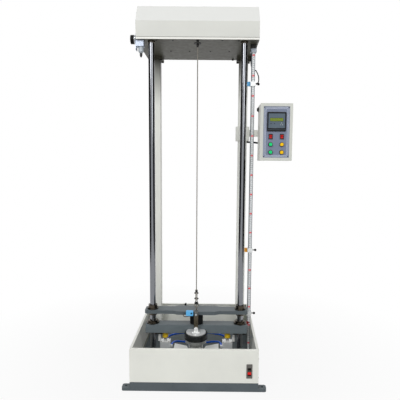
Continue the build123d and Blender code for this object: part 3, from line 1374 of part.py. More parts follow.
# Sliders on the scale, the upper two with a sensor, each with a thumb screw
slider_gap = SLIDE_GAP + SLIDER_WALL
slider_left_x = scale_x - SCALE_WIDTH / 2 - slider_gap
slider_right_x = scale_x + SCALE_WIDTH / 2 + slider_gap
slider_spots = (
    ("upper", upper_slider_z, True),
    ("middle", MIDDLE_SLIDER_Z, True),
    ("lower", LOWER_SLIDER_Z, False),
)
for place, slider_z, has_sensor in slider_spots:
    with BuildPart() as slider:
        with BuildSketch(Plane.XY.offset(slider_z - SLIDER_HEIGHT / 2)):
            with Locations((scale_x, SCALE_Y)):
                Rectangle(SCALE_WIDTH + 2 * slider_gap, SCALE_DEPTH + 2 * slider_gap)
                Rectangle(SCALE_WIDTH + 2 * SLIDE_GAP, SCALE_DEPTH + 2 * SLIDE_GAP, mode=Mode.SUBTRACT)
        extrude(amount=SLIDER_HEIGHT)
        with BuildSketch(Plane.YZ.offset(slider_right_x)):
            with Locations((SCALE_Y, slider_z)):
                Circle(THUMB_STEM_RADIUS + RUNNING_FIT)
        extrude(amount=-SLIDER_WALL, mode=Mode.SUBTRACT)
    slider_pieces = [slider.part]
    if has_sensor:
        with BuildPart() as sensor:
            with BuildSketch(Plane.XY.offset(slider_z - SLIDER_SENSOR_HEIGHT / 2)):
                with Locations((slider_left_x - SLIDER_SENSOR_WIDTH / 2, SCALE_Y)):
                    Rectangle(SLIDER_SENSOR_WIDTH, SLIDER_SENSOR_DEPTH)
            extrude(amount=SLIDER_SENSOR_HEIGHT)
            fillet(sensor.edges().filter_by(Axis.Z), SLIDER_SENSOR_CORNER)
        slider_pieces.append(sensor.part)
    slider_group = Compound(children=slider_pieces)
    slider_group.label = f"{place}_slider"
    export_step(slider_group, f"parts/{place}_slider.step")
    with BuildPart() as thumb_screw:
        stem_x = scale_x + SCALE_WIDTH / 2 + SLIDE_GAP
        ball_x = slider_right_x + THUMB_STEM_SHOW + THUMB_BALL_RADIUS
        with BuildSketch(Plane.YZ.offset(stem_x)):
            with Locations((SCALE_Y, slider_z)):
                Circle(THUMB_STEM_RADIUS)
        extrude(amount=ball_x - stem_x)
        with Locations((ball_x, SCALE_Y, slider_z)):
            Sphere(THUMB_BALL_RADIUS)
    thumb_screw.part.label = f"{place}_thumb_screw"
    export_step(thumb_screw.part, f"parts/{place}_thumb_screw.step")

# Control box: a sheet shell whose front frame holds the panel
box_rear_y = BOX_FRONT_Y + BOX_DEPTH
panel_width = BOX_WIDTH - 2 * BOX_FRAME_X
panel_height = BOX_HEIGHT - 2 * BOX_FRAME_Z
with BuildPart() as control_box:
    with BuildSketch(Plane.XZ.offset(-box_rear_y)):
        with Locations((box_x, box_z)):
            RectangleRounded(BOX_WIDTH, BOX_HEIGHT, BOX_EDGE)
    extrude(amount=BOX_DEPTH)
    with BuildSketch(Plane.XZ.offset(-box_rear_y + SHEET)):
        with Locations((box_x, box_z)):
            Rectangle(BOX_WIDTH - 2 * SHEET, BOX_HEIGHT - 2 * SHEET)
    extrude(amount=BOX_DEPTH - 2 * SHEET, mode=Mode.SUBTRACT)
    with BuildSketch(Plane.XZ.offset(-BOX_FRONT_Y)):
        with Locations((box_x, box_z)):
            Rectangle(panel_width, panel_height)
    extrude(amount=-SHEET, mode=Mode.SUBTRACT)
control_box.part.label = "control_box"
export_step(control_box.part, "parts/control_box.step")

panel_front_y = BOX_FRONT_Y + SHEET
panel_back_y = panel_front_y + PANEL_THICKNESS
button_spots = (
    ("green_button_upper", box_x - SWITCH_HALF_PITCH, UPPER_BUTTON_DROP),
    ("green_button_lower", box_x - SWITCH_HALF_PITCH, LOWER_BUTTON_DROP),
    ("yellow_button_upper", box_x + SWITCH_HALF_PITCH, UPPER_BUTTON_DROP),
    ("yellow_button_lower", box_x + SWITCH_HALF_PITCH, LOWER_BUTTON_DROP),
)
rocker_spots = (
    ("rocker_left", box_x - SWITCH_HALF_PITCH),
    ("rocker_right", box_x + SWITCH_HALF_PITCH),
)
rocker_z = box_z - ROCKER_DROP
with BuildPart() as control_panel:
    with BuildSketch(Plane.XZ.offset(-panel_back_y)):
        with Locations((box_x, box_z)):
            Rectangle(
                BOX_WIDTH - 2 * SHEET - 2 * REST_GAP,
                BOX_HEIGHT - 2 * SHEET - 2 * REST_GAP,
            )
    extrude(amount=PANEL_THICKNESS)
    with BuildSketch(Plane.XZ.offset(-panel_front_y)):
        for name, button_x, drop in button_spots:
            with Locations((button_x, box_z - drop)):
                Circle(BUTTON_RADIUS + BUTTON_RING)
    extrude(amount=BUTTON_RING_HEIGHT)
    with BuildSketch(Plane.XZ.offset(-panel_front_y)):
        for name, rocker_x in rocker_spots:
            with Locations((rocker_x, rocker_z)):
                Rectangle(
                    ROCKER_WIDTH + 2 * ROCKER_FRAME,
                    ROCKER_LENGTH + 2 * ROCKER_FRAME,
                )
    extrude(amount=ROCKER_FRAME_HEIGHT)
    panel_cut = PANEL_THICKNESS + BUTTON_RING_HEIGHT
    with BuildSketch(Plane.XZ.offset(-panel_back_y)):
        for name, button_x, drop in button_spots:
            with Locations((button_x, box_z - drop)):
                Circle(BUTTON_RADIUS + SLIDE_GAP)
        for name, rocker_x in rocker_spots:
            with Locations((rocker_x, rocker_z)):
                Rectangle(ROCKER_WIDTH + 2 * SIDE_GAP, ROCKER_LENGTH + 2 * SIDE_GAP)
        with Locations((box_x, box_z + DISPLAY_RISE)):
            Rectangle(DISPLAY_BODY + SIDE_GAP, DISPLAY_BODY + SIDE_GAP)
    extrude(amount=panel_cut, mode=Mode.SUBTRACT)
control_panel.part.label = "control_panel"
export_step(control_panel.part, "parts/control_panel.step")

with BuildPart() as display_unit:
    with BuildSketch(Plane.XZ.offset(-panel_front_y)):
        with Locations((box_x, box_z + DISPLAY_RISE)):
            RectangleRounded(DISPLAY_SIZE, DISPLAY_SIZE, DISPLAY_CORNER)
    extrude(amount=DISPLAY_BEZEL)
    with BuildSketch(Plane.XZ.offset(-panel_front_y)):
        with Locations((box_x, box_z + DISPLAY_RISE)):
            Rectangle(DISPLAY_BODY, DISPLAY_BODY)
    extrude(amount=-DISPLAY_BODY_DEPTH)
display_unit.part.label = "display_unit"
export_step(display_unit.part, "parts/display_unit.step")

for name, button_x, drop in button_spots:
    with BuildPart() as button:
        with BuildSketch(Plane.XZ.offset(-panel_back_y - REST_GAP - BUTTON_SKIRT_DEPTH)):
            with Locations((button_x, box_z - drop)):
                Circle(BUTTON_RADIUS)
        extrude(amount=panel_back_y + REST_GAP + BUTTON_SKIRT_DEPTH - BOX_FRONT_Y + BUTTON_PROUD)
        fillet(button.edges().sort_by(Axis.Y)[0], SMALL_EDGE)
        with BuildSketch(Plane.XZ.offset(-panel_back_y - REST_GAP - BUTTON_SKIRT_DEPTH)):
            with Locations((button_x, box_z - drop)):
                Circle(BUTTON_RADIUS + BUTTON_SKIRT)
        extrude(amount=BUTTON_SKIRT_DEPTH)
    button.part.label = name
    export_step(button.part, f"parts/{name}.step")

for name, rocker_x in rocker_spots:
    tilt = radians(ROCKER_TILT)
    pivot = (rocker_x + ROCKER_WIDTH / 2, panel_front_y + PANEL_THICKNESS / 2, rocker_z)
    rocker_plane = Plane(origin=pivot, x_dir=(0, -sin(tilt), cos(tilt)), z_dir=(-1, 0, 0))
    with BuildPart() as rocker:
        with BuildSketch(rocker_plane):
            with BuildLine():
                ThreePointArc((-ROCKER_RADIUS, 0), (0, ROCKER_RADIUS), (ROCKER_RADIUS, 0))
                Polyline(
                    (ROCKER_RADIUS, 0),
                    (ROCKER_RADIUS - SIDE_GAP, -ROCKER_RISE),
                    (0, -ROCKER_RISE + ROCKER_DIP),
                    (-ROCKER_RADIUS + SIDE_GAP, -ROCKER_RISE),
                    (-ROCKER_RADIUS, 0),
                )
            make_face()
        extrude(amount=ROCKER_WIDTH)
    rocker.part.label = name
    export_step(rocker.part, f"parts/{name}.step")

# Support arm: a ring round the right post, a bent arm and the pad behind the box
arm_pad_y = box_rear_y + ARM_PAD
ring_size = POST_SIZE + 2 * CLAMP_RING_WALL
with BuildPart() as support_arm:
    with BuildSketch(Plane.XY.offset(clamp_ring_z - CLAMP_RING_HEIGHT / 2)):
        with Locations((post_x, post_y)):
            Rectangle(ring_size, ring_size)
            RectangleRounded(
                POST_SIZE + 2 * RUNNING_FIT,
                POST_SIZE + 2 * RUNNING_FIT,
                POST_CORNER,
                mode=Mode.SUBTRACT,
            )
    extrude(amount=CLAMP_RING_HEIGHT)
    with BuildSketch(Plane.XY.offset(arm_z - ARM_SIZE / 2)):
        ring_right_x = post_x + ring_size / 2
        with BuildLine():
            Polyline(
                (ring_right_x, post_y - ARM_SIZE / 2),
                (box_x - ARM_SIZE / 2, post_y - ARM_SIZE / 2),
                (box_x - ARM_SIZE / 2, arm_pad_y),
                (box_x + ARM_SIZE / 2, arm_pad_y),
                (box_x + ARM_SIZE / 2, post_y + ARM_SIZE / 2),
                (ring_right_x, post_y + ARM_SIZE / 2),
                close=True,
            )
        make_face()
    extrude(amount=ARM_SIZE)
    fillet(support_arm.edges().filter_by(Axis.Z).sort_by(Axis.X)[-1], ARM_SIZE / 2)
    with BuildSketch(Plane.XZ.offset(-arm_pad_y)):
        with Locations((box_x, arm_z)):
            RectangleRounded(ARM_PAD_SIZE, ARM_PAD_SIZE, ARM_PAD_CORNER)
    extrude(amount=ARM_PAD)
support_arm.part.label = "support_arm"
export_step(support_arm.part, "parts/support_arm.step")

# Circuit breaker in the front panel, with a pocket for its toggle
panel_face_y = -BASE_DEPTH / 2
bezel_face_y = panel_face_y - BREAKER_BEZEL
toggle_y = bezel_face_y + TOGGLE_INSET
toggle_z = breaker_z - TOGGLE_DROP
with BuildPart() as circuit_breaker:
    with BuildSketch(Plane.XZ.offset(-panel_face_y)):
        with Locations((breaker_x, breaker_z)):
            Rectangle(BREAKER_WIDTH, BREAKER_HEIGHT)
    extrude(amount=BREAKER_BEZEL)
    with BuildSketch(Plane.XZ.offset(-panel_face_y)):
        with Locations((breaker_x, breaker_z)):
            Rectangle(breaker_hole_width - 2 * SLIDE_GAP, breaker_hole_height - 2 * SLIDE_GAP)
    extrude(amount=-BREAKER_BODY_DEPTH)
    with BuildSketch(Plane.XZ.offset(-bezel_face_y)):
        with Locations((breaker_x, toggle_z)):
            Rectangle(TOGGLE_WIDTH + 2 * SIDE_GAP, BREAKER_WINDOW_HEIGHT)
    extrude(amount=-BREAKER_WINDOW_DEPTH, mode=Mode.SUBTRACT)
circuit_breaker.part.label = "circuit_breaker"
export_step(circuit_breaker.part, "parts/circuit_breaker.step")

with BuildPart() as breaker_toggle:
    with BuildSketch(Plane.YZ.offset(breaker_x - TOGGLE_WIDTH / 2)):
        with Locations((toggle_y, toggle_z)):
            Circle(TOGGLE_HUB_RADIUS)
            with Locations(Rotation(0, 0, TOGGLE_REST_DROP)):
                Rectangle(TOGGLE_REACH, TOGGLE_BLADE, align=(Align.MAX, Align.CENTER))
    extrude(amount=TOGGLE_WIDTH)
breaker_toggle.part.label = "breaker_toggle"
export_step(breaker_toggle.part, "parts/breaker_toggle.step")

# Black cables: post to control box, and top plate to height scale
post_face_x = post_x + POST_SIZE / 2
box_lead_z = box_z - BOX_LEAD_DROP
box_lead_x = post_face_x + 101
box_cable_points = [
    (post_face_x, post_y, box_lead_z),
    (post_face_x + 30, post_y, box_lead_z),
    (post_face_x + 79, post_y - 20, box_lead_z - 7),
    (post_face_x + 99, post_y - 70, box_lead_z - 21),
    (post_face_x + 103, post_y - 132, box_lead_z - 35),
    (box_lead_x, box_rear_y + 30, box_lead_z - 42),
    (box_lead_x, box_rear_y, box_lead_z - 42),
]
box_cable = cord_solid("box cable", box_cable_points, BOX_LEAD_RADIUS)
scale_rear_y = SCALE_Y + SCALE_DEPTH / 2
scale_lead_y = post_y - POST_PAD_SIZE / 2 - SCALE_LEAD_GAP
scale_lead_z = PORTAL_HEIGHT - SCALE_LEAD_DROP
scale_cable_points = [
    (scale_x + SCALE_LEAD_X, scale_lead_y, PORTAL_HEIGHT),
    (scale_x + SCALE_LEAD_X, scale_lead_y, PORTAL_HEIGHT - 28),
    (scale_x + 8, scale_lead_y - 18, scale_lead_z + 32),
    (scale_x + 9, scale_lead_y - 51, scale_lead_z + 13),
    (scale_x + 8, scale_lead_y - 91, scale_lead_z + 4),
    (scale_x + 5, scale_lead_y - 134, scale_lead_z + 1),
    (scale_x, scale_rear_y + 32, scale_lead_z),
    (scale_x, scale_rear_y, scale_lead_z),
]
scale_cable = cord_solid("scale cable", scale_cable_points, SCALE_LEAD_RADIUS)
cables = Compound(children=[box_cable, scale_cable])
cables.label = "cables"
export_step(cables, "parts/cables.step")
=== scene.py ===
from math import cos, pi, radians, sin

import bmesh
import bpy
from mathutils import Matrix, Vector


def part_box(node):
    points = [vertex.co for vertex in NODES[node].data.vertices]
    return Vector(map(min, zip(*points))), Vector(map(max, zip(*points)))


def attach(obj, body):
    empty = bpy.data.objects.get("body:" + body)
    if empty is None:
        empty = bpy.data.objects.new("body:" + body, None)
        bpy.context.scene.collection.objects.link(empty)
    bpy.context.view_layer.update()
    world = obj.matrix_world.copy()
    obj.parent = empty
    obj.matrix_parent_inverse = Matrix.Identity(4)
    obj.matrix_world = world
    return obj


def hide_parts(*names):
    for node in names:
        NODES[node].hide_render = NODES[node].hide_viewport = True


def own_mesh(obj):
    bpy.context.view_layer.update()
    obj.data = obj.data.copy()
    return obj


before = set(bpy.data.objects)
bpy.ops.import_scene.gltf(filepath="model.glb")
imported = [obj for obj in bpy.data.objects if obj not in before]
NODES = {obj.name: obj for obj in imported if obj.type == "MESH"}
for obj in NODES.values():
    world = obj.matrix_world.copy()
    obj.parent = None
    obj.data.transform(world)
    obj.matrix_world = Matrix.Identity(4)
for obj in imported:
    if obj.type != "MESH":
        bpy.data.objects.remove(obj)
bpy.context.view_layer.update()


def placed(name, data):
    """New object in the scene."""
    made = bpy.data.objects.new(name, data)
    bpy.context.scene.collection.objects.link(made)
    return made


def taken_mesh(holder):
    """Mesh that an object's curve, text or modifier makes; the object itself goes."""
    graph = bpy.context.evaluated_depsgraph_get()
    mesh = bpy.data.meshes.new_from_object(holder.evaluated_get(graph))
    holder.modifiers.clear()
    bpy.data.objects.remove(holder)
    return mesh


# Camera: the photograph's view, from a little above the middle of the machine
CAMERA_PLACE = Vector((0.08334, -2.20509, 1.05942))
CAMERA_PITCH = radians(6.12)
CAMERA_YAW = radians(-0.19)
CAMERA_ROLL = radians(0.5)
FILM_WIDTH = 36.0
FRAME_PIXELS = 400.0
FOCAL_PIXELS = 424.95
CENTRE_PIXEL = (211.97, 208.82)
FARTHEST_SEEN = 60.0


def aim_camera():
    """Camera at the photograph's place, turn, field and shift."""
    level_share = cos(CAMERA_PITCH)
    ahead = Vector((sin(CAMERA_YAW) * level_share, cos(CAMERA_YAW) * level_share, -sin(CAMERA_PITCH)))
    level = Vector((cos(CAMERA_YAW), -sin(CAMERA_YAW), 0.0))
    above = level.cross(ahead)
    right = level * cos(CAMERA_ROLL) + above * sin(CAMERA_ROLL)
    up = above * cos(CAMERA_ROLL) - level * sin(CAMERA_ROLL)
    data = bpy.data.cameras.new("photo_camera")
    data.sensor_width = FILM_WIDTH
    data.lens = FILM_WIDTH * FOCAL_PIXELS / FRAME_PIXELS
    data.shift_x = (FRAME_PIXELS / 2 - CENTRE_PIXEL[0]) / FRAME_PIXELS
    data.shift_y = (CENTRE_PIXEL[1] - FRAME_PIXELS / 2) / FRAME_PIXELS
    data.clip_end = FARTHEST_SEEN
    camera = placed("photo_camera", data)
    turn = Matrix((right, up, -ahead)).transposed().to_4x4()
    camera.matrix_world = Matrix.Translation(CAMERA_PLACE) @ turn
    bpy.context.scene.camera = camera


aim_camera()


def srgb(red, green, blue):
    """Linear colour of a tint given in 0 to 255 steps."""
    linear = [((c / 255 + 0.055) / 1.055) ** 2.4 if c > 10 else c / 255 / 12.92 for c in (red, green, blue)]
    return (*linear, 1.0)


# Sockets of the Mix node for each kind of value: first, second and result
MIX_SOCKETS = {"RGBA": (6, 7, 2), "FLOAT": (2, 3, 0)}


class Finish:
    """A procedural material whose nodes are added by name."""

    def __init__(self, name):
        self.material = bpy.data.materials.new(name)
        self.material.use_nodes = True
        self.tree = self.material.node_tree
        self.shader = self.tree.nodes["Principled BSDF"]
        self.place = self.tree.nodes.new("ShaderNodeTexCoord").outputs["Object"]

    def add(self, kind, inputs=None, **settings):
        """A node of that kind; inputs maps sockets to values or to other sockets."""
        node = self.tree.nodes.new(kind)
        for key, value in settings.items():
            setattr(node, key, value)
        for key, value in (inputs or {}).items():
            self.join(value, node.inputs[key])
        return node

    def join(self, value, socket):
        """A link from another socket, or a plain value."""
        if isinstance(value, bpy.types.NodeSocket):
            self.tree.links.new(value, socket)
        else:
            socket.default_value = value

    def set(self, **inputs):
        """Values or sockets for the shader, such as Base_Color."""
        for key, value in inputs.items():
            self.join(value, self.shader.inputs[key.replace("_", " ")])

    def stretch(self, scale):
        """Object coordinates stretched along some axes."""
        return self.add("ShaderNodeMapping", {"Vector": self.place, "Scale": scale}).outputs["Vector"]

    def noise(self, scale, detail=3.0, roughness=0.55, at=None):
        """Cloudy pattern of zero to one; the scale counts its patches in a metre."""
        inputs = {"Vector": at or self.place, "Scale": scale, "Detail": detail, "Roughness": roughness}
        return self.add("ShaderNodeTexNoise", inputs).outputs["Fac"]

    def span(self, value, low, high, to_low=0.0, to_high=1.0):
        """Value from one span to another, clamped."""
        inputs = {"Value": value, "From Min": low, "From Max": high, "To Min": to_low, "To Max": to_high}
        return self.add("ShaderNodeMapRange", inputs).outputs["Result"]

    def mix(self, mask, first, second, kind="RGBA"):
        """The first value where the mask is zero, and the second where it is one."""
        node = self.add("ShaderNodeMix", data_type=kind)
        first_socket, second_socket, result = MIX_SOCKETS[kind]
        self.join(mask, node.inputs[0])
        self.join(first, node.inputs[first_socket])
        self.join(second, node.inputs[second_socket])
        return node.outputs[result]

    def maths(self, first, second, operation="MULTIPLY"):
        """Result of one operation on two numbers; the second is left unused where it takes one."""
        node = self.add("ShaderNodeMath", operation=operation)
        self.join(first, node.inputs[0])
        self.join(second, node.inputs[1])
        return node.outputs[0]

    def bump(self, height, strength, depth):
        """Raised and sunk places that follow a pattern."""
        inputs = {"Height": height, "Strength": strength, "Distance": depth}
        self.set(Normal=self.add("ShaderNodeBump", inputs).outputs["Normal"])

    def axis(self, letter):
        """One of the object coordinates, in metres."""
        return self.add("ShaderNodeSeparateXYZ", {"Vector": self.place}).outputs[letter]

    def within(self, letter, low, high):
        """One where a coordinate lies between two values, and zero elsewhere."""
        along = self.axis(letter)
        return self.maths(self.maths(along, low, "GREATER_THAN"), self.maths(along, high, "LESS_THAN"))

    def repaint(self, mask, colour, roughness=None, metallic=None):
        """Another colour, gloss and metal where the mask is one."""
        changes = (("Base Color", colour, "RGBA"), ("Roughness", roughness, "FLOAT"),
                   ("Metallic", metallic, "FLOAT"))
        for name, value, kind in changes:
            if value is None:
                continue
            socket = self.shader.inputs[name]
            own = tuple(socket.default_value) if kind == "RGBA" else socket.default_value
            before = socket.links[0].from_socket if socket.is_linked else own
            self.join(self.mix(mask, before, value, kind), socket)


# Ways that tool lines run, as the stretch of the pattern along each axis
LINES_UP = (40.0, 40.0, 1.0)
LINES_ROUND = (1.0, 1.0, 45.0)
LINES_WIDE = (1.0, 1.0, 40.0)
LINES_ACROSS = (1.0, 30.0, 30.0)
CAST_GRAIN = (3.0, 3.0, 3.0)
SCRATCHES = (14.0, 140.0, 140.0)


def powder_coat(name, colour, roughness=0.42):
    """Fine orange-peel powder coat with faint soiling."""
    finish = Finish(name)
    soil = finish.span(finish.noise(scale=3.5, detail=4.0), low=0.35, high=0.75)
    darker = tuple(c * 0.90 for c in colour[:3]) + (1.0,)
    finish.set(Base_Color=finish.mix(soil, colour, darker))
    peel = finish.noise(scale=900.0, detail=2.0)
    finish.set(Roughness=finish.span(finish.noise(40.0), 0.3, 0.7, roughness - 0.06, roughness + 0.08))
    finish.bump(peel, strength=0.12, depth=0.0002)
    return finish


def enamel(name, colour, roughness=0.32, scuff=0.35):
    """Brushed-on enamel on steel, scuffed lighter here and there."""
    finish = Finish(name)
    patch = finish.span(finish.noise(scale=6.0, detail=5.0), low=0.3, high=0.75)
    scratch_place = finish.stretch(SCRATCHES)
    scratch = finish.span(finish.noise(scale=6.0, detail=2.0, at=scratch_place), low=0.62, high=0.74)
    lighter = tuple(min(1.0, c * 1.45 + 0.012) for c in colour[:3]) + (1.0,)
    mottled = finish.mix(finish.maths(patch, 0.35), colour, lighter)
    finish.set(Base_Color=finish.mix(finish.maths(scratch, scuff), mottled, lighter))
    finish.set(Roughness=finish.span(patch, 0.0, 1.0, roughness - 0.05, roughness + 0.12))
    finish.bump(finish.noise(scale=260.0, detail=2.0), strength=0.10, depth=0.0003)
    return finish


def bare_metal(name, colour, roughness, grain=LINES_WIDE, metallic=1.0, stain=0.25):
    """Machined metal with tool lines along one way and a thin oil stain."""
    finish = Finish(name)
    lines = finish.noise(scale=60.0, at=finish.stretch(grain))
    stained = finish.span(finish.noise(scale=22.0, detail=4.0), low=0.45, high=0.8)
    darker = (colour[0] * 0.62, colour[1] * 0.56, colour[2] * 0.48, 1.0)
    finish.set(Base_Color=finish.mix(finish.maths(stained, stain), colour, darker))
    finish.set(Metallic=metallic)
    finish.set(Roughness=finish.span(lines, 0.3, 0.7, max(0.03, roughness - 0.08), roughness + 0.10))
    finish.bump(lines, strength=0.06, depth=0.0002)
    return finish


def moulded(name, colour, roughness=0.4, coat=0.0, gleam=0.3):
    """Moulded plastic or rubber with a fine spark-eroded grain."""
    finish = Finish(name)
    dust = finish.span(finish.noise(scale=30.0, detail=4.0), low=0.5, high=0.85)
    paler = tuple(min(1.0, c * 1.25 + 0.02) for c in colour[:3]) + (1.0,)
    finish.set(Base_Color=finish.mix(finish.maths(dust, 0.35), colour, paler))
    finish.set(Roughness=finish.span(finish.noise(90.0), 0.3, 0.7, roughness - 0.05, roughness + 0.08))
    finish.set(Coat_Weight=coat, Specular_IOR_Level=gleam)
    finish.bump(finish.noise(scale=1500.0, detail=1.0), strength=0.10, depth=0.00008)
    return finish


# Colours used more than once
OFF_WHITE = srgb(233, 234, 227)
DARK = srgb(22, 22, 23)
SENSOR_BLUE = srgb(104, 190, 246)

# Paints
white_coat = powder_coat("off_white_powder_coat", OFF_WHITE)
# The tray's front and rear panels have the off-white paint of its sides, painted lighter: painted light.
tray_panels_painted_light = powder_coat("tray_front_painted_lighter", srgb(243, 244, 236))
slate_enamel = enamel("slate_enamel", srgb(90, 98, 102))
# The drop beam has the slate paint of the hoist beam, painted lighter: painted light for the lower beam.
drop_beam_painted_light = enamel("drop_beam_enamel", srgb(105, 114, 118))
for beam_finish in (slate_enamel, drop_beam_painted_light):
    beam_finish.set(Specular_IOR_Level=0.15)
white_enamel = enamel("white_enamel", srgb(236, 237, 234), 0.35, 0.2)
black_enamel = enamel("gloss_black_enamel", srgb(31, 33, 34), 0.10, 0.15)
pointer_red = enamel("pointer_red", srgb(140, 16, 22), 0.3)
winch_paint = enamel("winch_casting_paint", srgb(92, 104, 112), 0.5)

# Metals
chrome = bare_metal("hard_chrome", srgb(130, 132, 137), 0.12, LINES_UP, stain=0.06)
rod_chrome = bare_metal("catcher_rod_chrome", srgb(176, 176, 174), 0.12, LINES_UP, stain=0.12)
ground_steel = bare_metal("ground_steel", srgb(178, 180, 180), 0.28, LINES_ACROSS)
turned_steel = bare_metal("turned_steel", srgb(170, 168, 162), 0.22, LINES_ROUND)
flange_steel = bare_metal("dark_turned_steel", srgb(104, 98, 90), 0.30, LINES_ROUND)
bearing_steel = bare_metal("bearing_steel", srgb(82, 76, 68), 0.20, LINES_ROUND, stain=0.6)
bright_steel = bare_metal("bright_steel", srgb(205, 206, 206), 0.30, LINES_ROUND, 0.8, 0.3)
# The clevis disc is the bright steel painted lighter and less metallic: painted light in place of the
# reflection its top face lacks.
disc_painted_light = bare_metal("bright_disc_steel", srgb(238, 239, 239), 0.42, LINES_ROUND, 0.35, 0.15)
dark_bronze = bare_metal("dark_bronze", srgb(108, 100, 86), 0.30, LINES_UP)
black_oxide = bare_metal("black_oxide", srgb(22, 21, 21), 0.5, metallic=0.4)
anodised = bare_metal("anodised_aluminium", srgb(232, 234, 236), 0.40, LINES_UP, 0.6, 0.08)
rope_strand = bare_metal("rope_strand", srgb(158, 154, 146), 0.34)

# Plastics and inks
sensor_blue = moulded("sensor_blue", SENSOR_BLUE)
bumper_yellow = moulded("bumper_yellow", srgb(206, 172, 34), 0.35, 0.3)
tube_blue = moulded("tube_blue", srgb(14, 100, 232), 0.22, 0.5)
matte_black = moulded("matte_black", srgb(20, 20, 21), 0.5, 0.0, 0.2)
cable_black = moulded("cable_black", srgb(15, 15, 16), 0.45, 0.0, 0.2)
display_black = moulded("display_black", srgb(13, 13, 14), 0.35, 0.0, 0.2)
display_face_grey = moulded("display_face_grey", srgb(84, 98, 110), 0.42)
lcd_olive = moulded("lcd_olive", srgb(132, 152, 22), 0.15, 0.5)
lcd_dark = moulded("lcd_dark", srgb(70, 84, 14), 0.3)
key_grey = moulded("key_grey", srgb(178, 186, 188), 0.45)
border_light = moulded("border_light", srgb(214, 221, 236), 0.4)
number_ink = moulded("number_ink", srgb(38, 52, 76), 0.5)
number_red = moulded("number_red", srgb(226, 20, 28), 0.5)


# Patterns on the nodes: places where a colour changes and sizes, in metres, and counts
BEFORE_ALL, BEYOND_ALL = -1.0, 2.0
HOOD_BEND = 1.736
BOX_SIDE = 0.3135
CLIP_HEIGHTS = (0.3642, 0.3932)
CLIP_NUT_SIDE = 0.0045
CLIP_HALF_HEIGHT = 0.005
FERRULE_LOW = 0.398
FERRULE_HEIGHT = 0.0122
STRAND_COUNT = 6
STRAND_LAY = 0.032
STRAND_BUMP = 0.0006
ROPE_X, ROPE_Y = 0.0, -0.072
SCALE_BAR_FRONT = -0.005
SCALE_FRONT = SCALE_BAR_FRONT + 0.0005
SCALE_LEFT = 0.2685
SCALE_RIGHT = SCALE_LEFT + 0.018
SCALE_EDGE = 0.0028
SCALE_MARK_LOW = 0.0575
SCALE_MARK_HIGH = 1.6135
SCALE_BRACKET_DARK = 1.6310
RED_MARK_HALF = 0.0045
RED_MARKS_PER_METRE = 10.0
RED_MARK_LEFT = SCALE_LEFT + 0.004
PLATE_FRONT = -0.0914
PLATE_TOP = 1.6600
POST_SHADE_LOW = 1.38
POST_SHADE_HIGH = 1.64
TRAY_INSIDE = 0.2970
TRAY_RIM = 0.2025
SENSOR_SIDE = 0.2644
PANEL_FRONT = -0.063
PANEL_PROUD = 0.0003
ROCKER_WAIST_HALF = 0.0013
ROCKER_FOOT = 0.0022
ROCKER_HEAD = 0.0016
LENS_FOOT = 0.0035
TOGGLE_TIP = -0.3245
BREAKER_WINDOW = -0.3275
KNOB_BAND_LEFT, KNOB_BAND_RIGHT = -0.3075, -0.3040
BOWL_LOW, BOWL_HIGH = 1.591, 1.621
BRACKET_SIDE = -0.2982

# Marks on the scale: the pitch, the inked share of the pitch and the length
MILLIMETRE_MARK = (0.001, 0.22, 0.0015)
HALF_CENTIMETRE_MARK = (0.005, 0.07, 0.0025)
CENTIMETRE_MARK = (0.010, 0.08, 0.0040)


def wire_rope():
    """Galvanised strands laid round the rope, with black clips and ferrule at its end."""
    finish = bare_metal("galvanised_wire", srgb(158, 154, 146), 0.38)
    across = finish.maths(finish.axis("X"), ROPE_X, "SUBTRACT")
    along = finish.maths(finish.axis("Y"), ROPE_Y, "SUBTRACT")
    around = finish.maths(finish.maths(across, along, "ARCTAN2"), float(STRAND_COUNT))
    lay = finish.maths(around, finish.maths(finish.axis("Z"), 2 * pi / STRAND_LAY), "ADD")
    finish.bump(finish.maths(lay, 0.0, "SINE"), 0.8, STRAND_BUMP)
    ferrule = finish.within("Z", FERRULE_LOW, FERRULE_LOW + FERRULE_HEIGHT)
    finish.repaint(ferrule, DARK, 0.4, 0.0)
    aside = finish.maths(finish.axis("X"), 0.0, "ABSOLUTE")
    nuts = finish.maths(aside, CLIP_NUT_SIDE, "GREATER_THAN")
    for height in CLIP_HEIGHTS:
        band = finish.within("Z", height - CLIP_HALF_HEIGHT, height + CLIP_HALF_HEIGHT)
        finish.repaint(finish.maths(band, nuts), DARK, 0.4, 0.2)
    return finish


def scale_face():
    """White face with millimetre marks and a red mark each 100 mm, on a bar with a black bracket."""
    finish = bare_metal("scale_bar", srgb(150, 156, 164), 0.36, LINES_UP, stain=0.08)
    height = finish.axis("Z")
    face = finish.within("Y", BEFORE_ALL, SCALE_FRONT)
    face = finish.maths(face, finish.within("Z", SCALE_MARK_LOW, SCALE_MARK_HIGH))
    finish.repaint(face, srgb(62, 70, 80), 0.40, 0.0)
    face = finish.maths(face, finish.within("X", SCALE_LEFT + SCALE_EDGE, SCALE_RIGHT - SCALE_EDGE))
    finish.repaint(face, srgb(238, 241, 242), 0.35, 0.0)
    for pitch, share, length in (MILLIMETRE_MARK, HALF_CENTIMETRE_MARK, CENTIMETRE_MARK):
        step = finish.maths(finish.maths(height, 1.0 / pitch), 0.0, "FRACT")
        tick = finish.maths(step, share, "LESS_THAN")
        tick = finish.maths(tick, finish.within("X", SCALE_LEFT, SCALE_LEFT + SCALE_EDGE + length))
        finish.repaint(finish.maths(face, tick), srgb(58, 66, 76), 0.4, 0.0)
    raised = finish.maths(height, RED_MARK_HALF, "ADD")
    step = finish.maths(finish.maths(raised, RED_MARKS_PER_METRE), 0.0, "FRACT")
    red = finish.maths(step, 2 * RED_MARK_HALF * RED_MARKS_PER_METRE, "LESS_THAN")
    red = finish.maths(red, finish.within("X", RED_MARK_LEFT, BEYOND_ALL))
    finish.repaint(finish.maths(face, red), srgb(244, 128, 134), 0.4, 0.0)
    finish.repaint(finish.within("Z", SCALE_BRACKET_DARK, BEYOND_ALL), DARK, 0.45, 0.0)
    return finish


